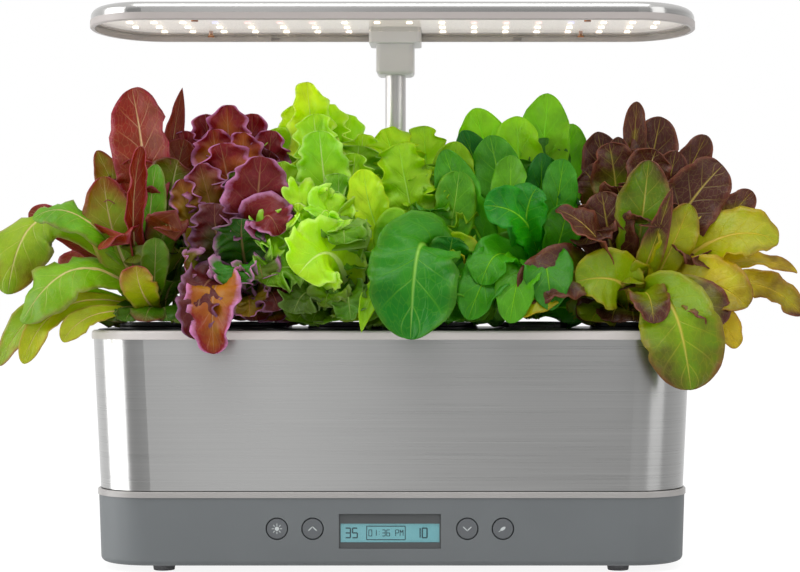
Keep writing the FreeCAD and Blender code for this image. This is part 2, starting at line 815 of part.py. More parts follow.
def pump_parts():
    floor = bowl_bottom + 1.9 + bowl_wall
    z0 = floor + 0.2
    z1 = z0 + pump_height
    body = rounded_box(pump_x - pump_half_x, pump_x + pump_half_x, -pump_half_y, pump_half_y, z0, z1, 5)
    body = body.cut(cylinder(chamber_x, 0, z1 - chamber_depth, chamber_r, 40))
    body = body.cut(box(chamber_x, riser_x, -3, 3, z1 - chamber_depth + 4, z1 + 5))
    pocket = box(pump_x + 12, pump_x + pump_half_x + 5, -11, 11, z0 + 5, z1 + 5)
    body = body.cut(pocket)
    body = body.cut(cylinder(chamber_x, 0, z1 - chamber_depth - 5, shaft_r + 0.02, 20))
    filter_block = box(pump_x + 12.2, pump_x + pump_half_x - 0.4, -10.8, 10.8, z0 + 5.2, z1 - 0.2)
    shaft = cylinder(chamber_x, 0, z1 - chamber_depth - 4.9, shaft_r, chamber_depth + 4.4)
    cover = rounded_box(pump_x - pump_half_x, pump_x + pump_half_x, -pump_half_y, pump_half_y,
                        z1 + 0.05, z1 + 2.4, 5)
    for k in range(4):
        x = pump_x + 13.5 + 3.2 * k
        cover = cover.cut(box(x, x + 1.6, -9, 9, z1 - 1, z1 + 5))
    cover = cover.cut(cylinder(riser_x, 0, z1 - 1, riser_r - 1.2, 10))
    spigot = tube(riser_x, 0, z1 + 2.3, riser_r - 0.1, riser_r - 1.2, 6)
    cover = cover.fuse(spigot)
    riser_top = deck_bottom - 3
    riser = tube(riser_x, 0, z1 + 2.45, riser_r + 1.2, riser_r, riser_top - z1 - 2.45)
    riser = riser.fuse(cylinder(riser_x, 0, riser_top - 2, riser_r + 1.2, 2))
    for angle in (0, 90):
        port = box(-10, 10, -1.2, 1.2, riser_top - 6, riser_top - 2.2)
        port.rotate(V(0, 0, 0), V(0, 0, 1), angle)
        port.translate(V(riser_x, 0, 0))
        riser = riser.cut(port)
    hub_z = z1 - chamber_depth + 0.5
    hub_h = chamber_depth - 1.5
    wheel = cylinder(chamber_x, 0, hub_z, 4.0, hub_h)
    wheel = wheel.fuse(cylinder(chamber_x, 0, hub_z, chamber_r - 1.2, 1.4))
    for k in range(6):
        blade = box(3.5, chamber_r - 1.3, -0.6, 0.6, hub_z + 1, hub_z + hub_h)
        blade.rotate(V(0, 0, 0), V(0, 0, 1), 60 * k)
        blade.translate(V(chamber_x, 0, 0))
        wheel = wheel.fuse(blade)
    wheel = wheel.cut(cylinder(chamber_x, 0, hub_z - 1, shaft_r + shaft_gap, hub_h + 2))
    return {"pump_body": body, "pump_filter": filter_block, "impeller_shaft": shaft,
            "pump_cover": cover, "pump_outlet": riser, "pump_impeller": wheel}


def main():
    os.makedirs("parts", exist_ok=True)
    save("base_housing", base_housing())
    save("bottom_plate", bottom_plate())
    save("bottom_screws", bottom_screws())
    save("rubber_feet", rubber_feet())
    save("trim_band", trim_band())
    bezel, window, lcd = display_parts()
    save("display_bezel", bezel)
    save("display_window", window)
    save("display_lcd", lcd)
    save("control_board", control_board())
    save("tact_switches", tact_switches())
    for name, x in zip(button_names, button_x):
        save(name, button(x))
    save("power_board", power_board())
    save("dc_inlet", dc_inlet())
    save("lower_post", lower_post())
    save("post_guide_bush", post_guide_bush())
    save("lamp_lead", lamp_lead())
    save("upper_post", upper_post())
    save("post_friction_shoe", post_friction_shoe())
    save("hood_frame", hood_frame())
    save("hood_cover", hood_cover())
    save("hood_bracket", hood_bracket())
    save("led_lens", led_lens())
    save("led_board", led_board())
    save("lens_screws", lens_screws())
    for colour in ("white", "red", "blue"):
        save(colour + "_leds", leds(colour))
    save("bowl_wrap", bowl_wrap())
    save("bowl_liner", bowl_liner())
    save("bowl_rim", bowl_rim())
    save("grow_deck", grow_deck())
    save("fill_lid", fill_lid())
    for name, shape in pump_parts().items():
        save(name, shape)
    for i in range(pod_count):
        save("basket_" + str(i + 1), basket(i))
        save("sponge_" + str(i + 1), sponge(i))
        save("plant_" + str(i + 1), crown(i))


main()
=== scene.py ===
# %% [markdown]
# # A countertop hydroponic garden
# This lesson finishes a garden for lettuces: a steel-clad bowl of water on a powered base, six
# plants in its deck and an LED hood on a post. The shapes of the hard parts come ready from the
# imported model. Here they get their surfaces, and the lettuces are grown from mesh code.

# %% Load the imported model
import math
import random
from functools import partial

import bpy
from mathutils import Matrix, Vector, noise


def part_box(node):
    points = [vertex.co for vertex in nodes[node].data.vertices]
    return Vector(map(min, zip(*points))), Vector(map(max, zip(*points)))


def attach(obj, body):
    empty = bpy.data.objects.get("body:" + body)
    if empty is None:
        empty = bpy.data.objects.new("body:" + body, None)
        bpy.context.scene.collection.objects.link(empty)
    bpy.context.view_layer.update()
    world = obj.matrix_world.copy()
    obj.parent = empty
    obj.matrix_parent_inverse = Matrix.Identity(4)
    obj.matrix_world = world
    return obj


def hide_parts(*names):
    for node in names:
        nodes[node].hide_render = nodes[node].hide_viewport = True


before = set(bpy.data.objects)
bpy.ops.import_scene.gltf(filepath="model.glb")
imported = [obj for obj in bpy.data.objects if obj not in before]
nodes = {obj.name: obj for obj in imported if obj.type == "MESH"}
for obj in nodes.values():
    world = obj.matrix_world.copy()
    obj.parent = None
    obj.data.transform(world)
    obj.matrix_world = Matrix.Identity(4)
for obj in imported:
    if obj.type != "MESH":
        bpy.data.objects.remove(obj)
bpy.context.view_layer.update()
MM = 0.001
PODS = 6
print(len(nodes), "nodes from the packed model")

# %% [markdown]
# ## Camera
# The photograph is a product shot: a long lens, level with the rim of the bowl, on white. The
# distance and lens were worked out from how much smaller the far edge of the hood looks than its
# near edge. The camera stands right of the middle, and the picture is cropped from the left part
# of its view, so the lens is shifted rather than turned and upright edges stay upright.

# %% Camera
CAMERA_DISTANCE = 1.308
CAMERA_HEIGHT = 0.182
CAMERA_RIGHT = 0.052
PIXELS_WIDE = 800
LENS_IN_PIXELS = 1969
SENSOR_MM = 36
CROP_LEFT = -0.0894
CROP_UP = 0.0025

camera_data = bpy.data.cameras.new("camera")
camera_data.sensor_width = SENSOR_MM
camera_data.lens = SENSOR_MM * LENS_IN_PIXELS / PIXELS_WIDE
camera_data.shift_x = CROP_LEFT
camera_data.shift_y = CROP_UP
camera = bpy.data.objects.new("camera", camera_data)
camera.location = (CAMERA_RIGHT, -CAMERA_DISTANCE, CAMERA_HEIGHT)
camera.rotation_euler = (math.pi / 2, 0, 0)
bpy.context.scene.collection.objects.link(camera)
bpy.context.scene.camera = camera
bpy.context.scene.view_settings.view_transform = "Standard"
print("lens", round(camera_data.lens, 1), "mm")

# %% [markdown]
# ## Helpers for materials
# Colours are written as the sRGB hex values that a paint chart gives, and one function turns them
# to the linear light that shaders work in. One more function adds any shader node, sets what it is
# given and links any socket among that. It gives back an output, so that nodes nest like sums.


# %% Colour and node helpers
def linear(colour):
    """sRGB hex such as 8e8e8e, or a plain grey level, to linear red, green, blue and alpha."""
    if not isinstance(colour, str):
        return (colour, colour, colour, 1.0)
    channels = [int(colour[i:i + 2], 16) / 255 for i in (0, 2, 4)]
    curve = [c / 12.92 if c <= 0.04045 else ((c + 0.055) / 1.055) ** 2.4 for c in channels]
    return (*curve, 1.0)


def new_material(name):
    material = bpy.data.materials.new(name)
    material.use_nodes = True
    material.node_tree.nodes.clear()
    return material


def add(owner, kind, inputs=(), out=0, **settings):
    """Adds a shader node and gives back one output; inputs are a list in order, or by name."""
    tree = owner.node_tree
    node = tree.nodes.new("ShaderNode" + kind)
    for key, value in settings.items():
        setattr(node, key, value)
    for key, value in inputs.items() if isinstance(inputs, dict) else enumerate(inputs):
        if isinstance(value, bpy.types.NodeSocket):
            tree.links.new(value, node.inputs[key])
        else:
            node.inputs[key].default_value = value
    return node.outputs[out] if node.outputs else None


def surface(material, shader):
    add(material, "OutputMaterial", [shader])
    return material


print("paint grey 808080 is", round(linear("808080")[0], 3), "in linear light")

# %% [markdown]
# Two patterns come back all the time. A ramp turns a number from 0 to 1 into a colour. Grain is
# noise measured in real size, and it can be stretched, which makes scratches of it.


# %% Patterns
def ramp(owner, factor, stops):
    """Colour ramp through (place, colour) stops."""
    colour = add(owner, "ValToRGB", [factor])
    bar = colour.node.color_ramp.elements
    while len(bar) < len(stops):
        bar.new(0.5)
    for element, (place, tone) in zip(bar, stops):
        element.position = place
        element.color = linear(tone)
    return colour


def grain(material, lump_mm, stretch=(1, 1, 1), detail=2.0):
    """Noise whose lumps are about lump_mm across."""
    place = add(material, "TexCoord", out="Object")
    mapped = add(material, "Mapping", {"Vector": place, "Scale": stretch})
    return add(material, "TexNoise", {"Vector": mapped, "Scale": 1000 / lump_mm, "Detail": detail})


# What the Mix node needs to mix colours: sockets 6 and 7 are its colours, and output 2 the result
COLOURS = dict(out=2, data_type="RGBA")
print("helpers ready")

# %% [markdown]
# ## Studio light
# Steel shows what stands round it, so the studio is drawn round the garden by compass direction:
# a dim strip straight in front, where the camera stands, a paler wall on its left, and bright
# walls behind. Overhead it is bright. Two soft boxes stand beside the garden, where only its
# rounded corners mirror them. The camera itself sees plain white.

# %% World
# Brightness by compass degrees, from straight behind round by the left to behind again
COMPASS = [(-180, 0.92), (-112, 0.85), (-60, 0.34), (-11, 0.38), (-9.0, 0.95), (-4.8, 0.92),
           (-2.4, 0.42), (8.0, 0.36), (9.8, 0.50), (60, 0.40), (120, 0.60), (180, 0.92)]
OVERHEAD = 0.95
world = bpy.data.worlds.new("studio")
bpy.context.scene.world = world
world.use_nodes = True
world.node_tree.nodes.clear()
way = add(world, "TexCoord", out="Generated")
east, north, height = [add(world, "SeparateXYZ", [way], out=axis) for axis in "XYZ"]
front = add(world, "Math", [north, -1.0], operation="MULTIPLY")
turned = add(world, "Math", [east, front], operation="ARCTAN2")
share = add(world, "MapRange", [turned, -math.pi, math.pi, 0.0, 1.0])
compass = ramp(world, share, [(degrees / 360 + 0.5, level) for degrees, level in COMPASS])
upward = add(world, "MapRange", [height, 0.25, 0.7, 0.0, 1.0])
sky = add(world, "Mix", {0: upward, 6: compass, 7: linear(OVERHEAD)}, **COLOURS)
around = add(world, "Background", [sky, 1.0])
plain = add(world, "Background", [linear(1.0), 1.0])
camera_ray = add(world, "LightPath", out="Is Camera Ray")
add(world, "OutputWorld", [add(world, "MixShader", [camera_ray, around, plain])])
print("compass of", len(COMPASS), "stops")


# %% Soft boxes
def soft_box(name, place, width, height, power, aim=(0, 0, 0.15)):
    light = bpy.data.lights.new(name, "AREA")
    light.shape = "RECTANGLE"
    light.size = width
    light.size_y = height
    light.energy = power
    lamp = bpy.data.objects.new(name, light)
    lamp.location = place
    lamp.rotation_euler = (Vector(aim) - Vector(place)).to_track_quat("-Z", "Y").to_euler()
    bpy.context.scene.collection.objects.link(lamp)


soft_box("left_box", (-1.52, -0.35, 0.3), 1.25, 1.5, 20)
soft_box("right_box", (1.5, -1.0, 0.6), 0.9, 1.4, 5)
soft_box("top_box", (0.0, -0.7, 1.7), 1.6, 0.9, 12)

# %% [markdown]
# ## Paper floor
# The garden stands on white paper. To the camera the paper is mostly plain white light, so that
# it meets the white background with no horizon, and the rest of it is matt and keeps the
# garden's soft shadow. Steel would mirror the paper as a white band along its foot, which the
# photograph doesn't show, so mirrored rays pass through the paper.

# %% Paper floor
FLOOR_REACH = 6.0
PAPER_GLOW = 1.12
GLOW_SHARE = 0.8
corners = [(x * FLOOR_REACH, y * FLOOR_REACH, 0) for x, y in ((-1, -1), (1, -1), (1, 1), (-1, 1))]
floor_mesh = bpy.data.meshes.new("floor")
floor_mesh.from_pydata(corners, [], [(0, 1, 2, 3)])
floor = bpy.data.objects.new("floor", floor_mesh)
bpy.context.scene.collection.objects.link(floor)
paper = new_material("white_paper_floor")
matt = add(paper, "BsdfDiffuse", [linear("f0f0f0")])
glow = add(paper, "Emission", [linear(1.0), PAPER_GLOW])
camera_ray = add(paper, "LightPath", out="Is Camera Ray")
mirror_ray = add(paper, "LightPath", out="Is Glossy Ray")
glow_share = add(paper, "Math", [camera_ray, GLOW_SHARE], operation="MULTIPLY")
seen_paper = add(paper, "MixShader", [glow_share, matt, glow])
surface(paper, add(paper, "MixShader", [mirror_ray, seen_paper, add(paper, "BsdfTransparent")]))
floor_mesh.materials.append(paper)
print("floor", 2 * FLOOR_REACH, "m wide")

# %% [markdown]
# ## Brushed stainless steel
# The bowl's skin is thin stainless sheet, brushed along its length. The brush leaves fine
# scratches that run level round the bowl, so a lamp's reflection is drawn out up and down, and
# stays sharp from side to side. An anisotropic metal does that, and stretched noise makes the
# streaks. Real streaks are about 0.1 mm apart; here they are coarser, so that they show.

# %% Steel
# Streaks are 111 mm long and, squeezed 230 times in height, half a millimetre apart
STREAK_MM = 111
STREAK_STRETCH = (1, 1, 230)
# Noise lies mostly between these levels, so maps start and end there
NOISE_LOW, NOISE_HIGH = 0.3, 0.7


def steel(name, colour, dark, roughness, anisotropy, bump):
    material = new_material(name)
    streaks = grain(material, STREAK_MM, STREAK_STRETCH, detail=4)
    tone = ramp(material, streaks, [(NOISE_LOW, dark), (NOISE_HIGH, colour)])
    rough = add(material, "MapRange", [streaks, NOISE_LOW, NOISE_HIGH, roughness - 0.03, roughness + 0.03])
    relief = add(material, "Bump", {"Strength": bump, "Distance": 0.0001, "Height": streaks})
    shader = add(material, "BsdfPrincipled", {
        "Base Color": tone, "Metallic": 1.0, "Roughness": rough,
        "Anisotropic": anisotropy, "Anisotropic Rotation": 0.25, "Normal": relief})
    return surface(material, shader)


brushed_skin = steel("brushed_stainless_skin", "c9c9c8", "bfbfbe", 0.3, 0.85, 0.04)
bright_cover = steel("bright_stainless_cover", "c6c5c3", "c0bfbd", 0.2, 0.5, 0.02)

# %% [markdown]
# ## Chromed tube
# The post is chromed steel tube with a satin polish. A tube mirrors the whole studio squeezed
# into a few millimetres, and the satin softens that to a bright middle and darker sides.

# %% Chromed tube
tube_finish = new_material("satin_chrome_tube")
polish = grain(tube_finish, 3.3, (1, 1, 0.05), detail=3)
satin = add(tube_finish, "MapRange", [polish, NOISE_LOW, NOISE_HIGH, 0.34, 0.42])
surface(tube_finish, add(tube_finish, "BsdfPrincipled", {
    "Base Color": linear("d4d2d0"), "Metallic": 1.0, "Roughness": satin}))
print(brushed_skin.name, bright_cover.name, tube_finish.name)

# %% [markdown]
# ## Moulded plastics
# The base is injection-moulded ABS with a fine spark-eroded texture. The rim, the hood's frame
# and its bracket are the same plastic with a warm silver paint; on the hood's frame the paint is
# made darker, which is painted shade. Deck, baskets and bowl are plain black polypropylene, which
# has a softer shine. They differ in colour, grit and gloss only, so one function makes them all.

# %% Plastics
# How much glossier and duller than its middle a surface gets, and over what distance
ROUGHNESS_SPREAD = 0.05
CLOUD_MM = 45.5


def moulded(name, colour, roughness, grit_mm=0.5, bump=0.15, mottle=0.04, metallic=0.0):
    """Moulded plastic: a fine texture, with a faint unevenness of shine and tone."""
    material = new_material(name)
    fine = grain(material, grit_mm, detail=1)
    broad = grain(material, CLOUD_MM, detail=3)
    base = linear(colour)[:3]
    shade = (*(c * (1 - mottle * 2) for c in base), 1)
    light = (*(min(c * (1 + mottle * 2), 1) for c in base), 1)
    tone = add(material, "Mix", {0: broad, 6: shade, 7: light}, **COLOURS)
    glossiest, dullest = roughness - ROUGHNESS_SPREAD, roughness + ROUGHNESS_SPREAD
    rough = add(material, "MapRange", [broad, NOISE_LOW, NOISE_HIGH, glossiest, dullest])
    relief = add(material, "Bump", {"Strength": bump, "Distance": 0.0002, "Height": fine})
    shader = add(material, "BsdfPrincipled", {
        "Base Color": tone, "Metallic": metallic, "Roughness": rough, "Normal": relief})
    return surface(material, shader)


base_abs = moulded("textured_abs_base", "666a6c", 0.5)
button_abs = moulded("satin_abs_button", "5c5f62", 0.42, grit_mm=0.3)
silver_paint = moulded("warm_silver_painted_abs", "c8c2bf", 0.38, grit_mm=0.35, bump=0.08)
# Painted shade: the rim's warm silver paint, made darker for the hood's frame
shaded_hood_paint = moulded("warm_silver_hood_abs_painted_shade", "a59e9b", 0.38, grit_mm=0.35, bump=0.08)
bracket_paint = moulded("pale_silver_painted_abs", "c6c3c2", 0.36, grit_mm=0.35, bump=0.08)
band_paint = moulded("silver_painted_trim", "9c9997", 0.33, grit_mm=0.35, bump=0.05)
black_pp = moulded("black_polypropylene", "1b1c1b", 0.42, grit_mm=0.6)
basket_pp = moulded("black_basket_polypropylene", "161716", 0.5, grit_mm=0.6)
foot_rubber = moulded("dark_rubber_foot", "808082", 0.8, grit_mm=0.8, bump=0.3)
green_board = moulded("green_circuit_board", "1d5a3a", 0.4, grit_mm=1.0)
screw_copper = moulded("bronzed_steel_screw", "9a6a48", 0.35, metallic=1.0, bump=0.02)
screw_zinc = moulded("zinc_plated_screw", "b5b8ba", 0.35, metallic=1.0, bump=0.02)
peat = moulded("damp_peat_sponge", "2c2118", 0.95, grit_mm=2.5, bump=0.9, mottle=0.2)
open_foam = moulded("open_cell_foam", "26282a", 0.95, grit_mm=1.2, bump=0.9)
print(len(bpy.data.materials), "materials so far")


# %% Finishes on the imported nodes
def finish_nodes(material, *names):
    for name in names:
        for slot in nodes[name].material_slots:
            slot.material = material


finish_nodes(base_abs, "base_housing", "bottom_plate")
finish_nodes(button_abs, "button_light", "button_up", "button_down", "button_food")
finish_nodes(silver_paint, "bowl_rim")
finish_nodes(shaded_hood_paint, "hood_frame")
finish_nodes(band_paint, "trim_band")
finish_nodes(bracket_paint, "hood_bracket", "post_guide_bush", "post_friction_shoe")
finish_nodes(brushed_skin, "bowl_wrap")
finish_nodes(bright_cover, "hood_cover")
finish_nodes(tube_finish, "upper_post", "lower_post", "impeller_shaft")
finish_nodes(black_pp, "bowl_liner", "grow_deck", "fill_lid", "dc_inlet", "pump_body", "pump_cover",
             "pump_outlet", "pump_impeller", "tact_switches", "lamp_lead")
finish_nodes(foot_rubber, "rubber_feet")
finish_nodes(green_board, "control_board", "power_board")
finish_nodes(screw_copper, "lens_screws")
finish_nodes(screw_zinc, "bottom_screws")
finish_nodes(open_foam, "pump_filter")
for pod in range(1, PODS + 1):
    finish_nodes(basket_pp, "basket_%d" % pod)
    finish_nodes(peat, "sponge_%d" % pod)
bare = [name for name, node in nodes.items() if not node.material_slots]
print("nodes with no slot for a finish:", bare)

# %% [markdown]
# ## The lamp's lens and LEDs
# The lens is clear acrylic sheet. It is thin, so light goes straight on through it, and what the
# eye notices is its mirror-like shine at a low angle. A transparent shader mixed with a glossy
# one by Fresnel gives that without the noise of true glass. The LEDs glow by themselves.

# %% Lens and LEDs
ACRYLIC_IOR = 1.49


def clear_sheet(name, tint, most_shine, roughness):
    """Thin clear sheet with an anti-glare face, so its shine at a low angle stays small."""
    material = new_material(name)
    haze = grain(material, 33.3, detail=3)
    through = add(material, "BsdfTransparent", [linear(tint)])
    rough = add(material, "MapRange", [haze, NOISE_LOW, NOISE_HIGH, roughness, roughness + 0.05])
    shine = add(material, "BsdfGlossy", {"Color": linear(1.0), "Roughness": rough})
    edge_on = add(material, "Fresnel", {"IOR": ACRYLIC_IOR})
    amount = add(material, "Math", [edge_on, most_shine], operation="MINIMUM")
    return surface(material, add(material, "MixShader", [amount, through, shine]))


def led_glow(name, colour, strength):
    """Phosphor dome of an LED, faintly speckled."""
    material = new_material(name)
    speck = grain(material, 1.1)
    tone = add(material, "Mix", {0: speck, 6: linear(colour), 7: linear("ffffff")}, **COLOURS)
    shader = add(material, "BsdfPrincipled", {
        "Base Color": linear(colour), "Roughness": 0.3,
        "Emission Color": tone, "Emission Strength": strength})
    return surface(material, shader)


# The white solder mask glows with painted light: it stands in for the light that the LEDs throw on it, more
# than their glow alone can show here
painted_glow_board = led_glow("white_solder_mask_painted_glow", "e8dcd8", 0.3)
finish_nodes(painted_glow_board, "led_board")
lens_acrylic = clear_sheet("clear_acrylic_lens", "f8f8f6", 0.16, 0.03)
window_acrylic = clear_sheet("clear_display_window", "f2f4f4", 0.06, 0.05)
finish_nodes(lens_acrylic, "led_lens")
finish_nodes(window_acrylic, "display_window")
finish_nodes(led_glow("warm_white_led", "ffe2b4", 5.0), "white_leds")
finish_nodes(led_glow("deep_red_led", "ff9a9a", 1.3), "red_leds")
finish_nodes(led_glow("blue_led", "9a9cff", 1.3), "blue_leds")
print("lamp finished")

# %% [markdown]
# ## Display and buttons
# The LCD is a blue-green backlit glass with dark segments. Its figures are only numbers: days,
# the clock in a frame, and days to the next feed, which stand a hair in front of the glass. The
# icons are printed on the buttons in pale ink. Both are thin solids cut to an outline, so that
# they stay sharp at any distance and need no image.

# %% LCD and ink materials
BACKLIGHT = 0.48
lcd_glass = new_material("backlit_lcd_glass")
lcd_tones = {0: grain(lcd_glass, 16.7), 6: linear("68a0a8"), 7: linear("76aeb4")}
lcd_tone = add(lcd_glass, "Mix", lcd_tones, **COLOURS)
surface(lcd_glass, add(lcd_glass, "BsdfPrincipled", {
    "Base Color": lcd_tone, "Roughness": 0.35, "Emission Color": lcd_tone, "Emission Strength": BACKLIGHT}))
finish_nodes(lcd_glass, "display_lcd")
bezel_abs = moulded("dark_bezel_abs", "4b4d4e", 0.5, grit_mm=0.4)
finish_nodes(bezel_abs, "display_bezel")
lcd_ink = moulded("lcd_segment_ink", "12444e", 0.5, bump=0.0)
icon_ink = moulded("pale_icon_ink", "bfc4c4", 0.5, bump=0.0)


# %% Flat drawings
def add_object(name, mesh, body, material):
    piece = bpy.data.objects.new(name, mesh)
    bpy.context.scene.collection.objects.link(piece)
    mesh.materials.append(material)
    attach(piece, body)
    return piece


def facing_front(points, x, y, z):
    """Flat drawing of (across, up) points in millimetres, put on a face that looks to -Y."""
    return [(x + across * MM, y, z + up * MM) for across, up in points]


def drawing(name, outlines, place, body, material, thickness=0.12):
    """Closed raised outlines, each a list of (across, up) points, as one solid mesh."""
    vertices, faces = [], []
    x, y, z = place
    for points in outlines:
        start = len(vertices)
        count = len(points)
        vertices += facing_front(points, x, y, z)
        vertices += facing_front(points, x, y - thickness * MM, z)
        faces.append([start + i for i in range(count)])
        faces.append([start + count + i for i in reversed(range(count))])
        for i in range(count):
            j = (i + 1) % count
            faces.append([start + j, start + i, start + count + i, start + count + j])
    mesh = bpy.data.meshes.new(name)
    mesh.from_pydata(vertices, [], faces)
    mesh.update()
    return add_object(name, mesh, body, material)


def bar(x0, z0, x1, z1, width):
    """Outline of a straight stroke from one point to another."""
    along = Vector((x1 - x0, z1 - z0)).normalized()
    side = Vector((-along.y, along.x)) * width / 2
    ends = [Vector((x0, z0)), Vector((x1, z1))]
    return [tuple(ends[0] + side), tuple(ends[0] - side), tuple(ends[1] - side), tuple(ends[1] + side)]


def disc(radius, sides=20, squash=1.0, turn=0.0):
    points = []
    for k in range(sides):
        angle = 2 * math.pi * k / sides
        x, z = radius * math.cos(angle), radius * squash * math.sin(angle)
        points.append((x * math.cos(turn) - z * math.sin(turn), x * math.sin(turn) + z * math.cos(turn)))
    return points


print("a disc has", len(disc(1)), "corners")


# %% Icons on the buttons
def button_face(node):
    low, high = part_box(node)
    return ((low[0] + high[0]) / 2, low[1], (low[2] + high[2]) / 2)


sun = [disc(1.35)]
for k in range(8):
    ray = math.pi * k / 4
    c, s = math.cos(ray), math.sin(ray)
    sun.append(bar(1.9 * c, 1.9 * s, 3.3 * c, 3.3 * s, 0.45))
STROKE = 0.6
chevron_up = [bar(-2.6, -1.2, 0.2, 1.5, STROKE), bar(2.6, -1.2, -0.2, 1.5, STROKE)]
chevron_down = [bar(-2.6, 1.2, 0.2, -1.5, STROKE), bar(2.6, 1.2, -0.2, -1.5, STROKE)]
leaf_icon = [disc(1.9, squash=0.5, turn=0.6), bar(-2.6, -1.9, -1.2, -0.9, 0.4)]
icons = {"light": sun, "up": chevron_up, "down": chevron_down, "food": leaf_icon}
for key, outlines in icons.items():
    node = "button_" + key
    drawing("icon_" + key, outlines, button_face(node), key + "_button", icon_ink)
print("icons on", len(icons), "buttons")

# %% [markdown]
# ## Figures on the LCD
# An LCD draws its figures from bars, so they are made the same way: seven bars for a digit, and a
# few slanted ones for the M. No font is needed, and the stroke is as bold as the real one.

# %% Figures on the LCD
lcd_low, lcd_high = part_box("display_lcd")
LCD_MIDDLE = ((lcd_low[0] + lcd_high[0]) / 2, lcd_low[1] - 0.00002, (lcd_low[2] + lcd_high[2]) / 2)
FIGURE_THICKNESS = 0.05
# Bars as (x, z, x, z) on a cell one wide and two high
BARS = {"a": (0, 2, 1, 2), "b": (1, 2, 1, 1), "c": (1, 1, 1, 0), "d": (0, 0, 1, 0), "e": (0, 1, 0, 0),
        "f": (0, 2, 0, 1), "g": (0, 1, 1, 1), "l": (0, 2, 0.5, 1.1), "r": (1, 2, 0.5, 1.1),
        "t": (0.5, 1.5, 0.5, 1.3), "u": (0.5, 0.7, 0.5, 0.5)}
FIGURES = {"0": "abcdef", "1": "bc", "3": "abgcd", "5": "afgcd", "6": "afgedc", "P": "abfge", "M": "efbclr",
           ":": "tu", " ": ""}


def lcd_figures(name, words, centre_mm, cell_mm, gap_mm, stroke_mm):
    pitch = cell_mm + gap_mm
    rise = cell_mm * 1.02
    start = centre_mm - (len(words) * pitch - gap_mm) / 2
    strokes = []
    for place, letter in enumerate(words):
        left = start + place * pitch
        for key in FIGURES[letter]:
            x0, z0, x1, z1 = BARS[key]
            ends = (left + x0 * cell_mm, (z0 - 1) * rise, left + x1 * cell_mm, (z1 - 1) * rise)
            strokes.append(bar(*ends, stroke_mm))
    drawing(name, strokes, LCD_MIDDLE, "base", lcd_ink, FIGURE_THICKNESS)


lcd_figures("lcd_days", "35", -24.6, 3.0, 1.4, 0.85)
lcd_figures("lcd_clock", "01:36 PM", -2.6, 1.9, 0.95, 0.5)
lcd_figures("lcd_feed", "10", 19.9, 3.0, 1.4, 0.85)

# %% Frame round the clock
LEFT, RIGHT, HIGH = -14.9, 9.7, 4.3
FRAME_STROKE = 0.55
across = [bar(LEFT, z, RIGHT, z, FRAME_STROKE) for z in (HIGH, -HIGH)]
upright = [bar(x, -HIGH, x, HIGH, FRAME_STROKE) for x in (LEFT, RIGHT)]
drawing("lcd_frame", across + upright, LCD_MIDDLE, "base", lcd_ink, FIGURE_THICKNESS)
print("LCD figures drawn")

# %% [markdown]
# ## Lettuce leaves
# A lettuce leaf is a thin sheet on a stiff pale midrib. Side veins leave the midrib every
# centimetre or so, a fine net joins them, and the blade puckers up between them. In loose-leaf
# kinds the edge grows longer than the middle, so it has to ruffle. Light comes through a leaf as
# well as off it, which is why young leaves against a lamp look yellow.
#
# Each leaf is a grid of points. One way runs along the midrib, a curve with three control points,
# and the other runs across the blade. Each point keeps its place on the leaf as an attribute, so
# the material can draw veins and flush the tip without any image. A second attribute holds how
# red and how yellow the whole leaf is, because no two leaves of a plant are alike, and how dark
# it is, which is painted shade: leaves that lie in the shade of others are painted darker.

# %% Colour of a leaf
LEAF_CLOUD_MM = 18.2
LEAF_SPECK_MM = 3.85


def leaf_position(material):
    """Place on the leaf: across from the midrib and along from the stalk, both from 0 to 1."""
    place = add(material, "Attribute", out="Vector", attribute_name="leaf")
    sideways = add(material, "SeparateXYZ", [place], "X")
    return add(material, "Math", [sideways], operation="ABSOLUTE"), add(material, "SeparateXYZ", [place], "Y")


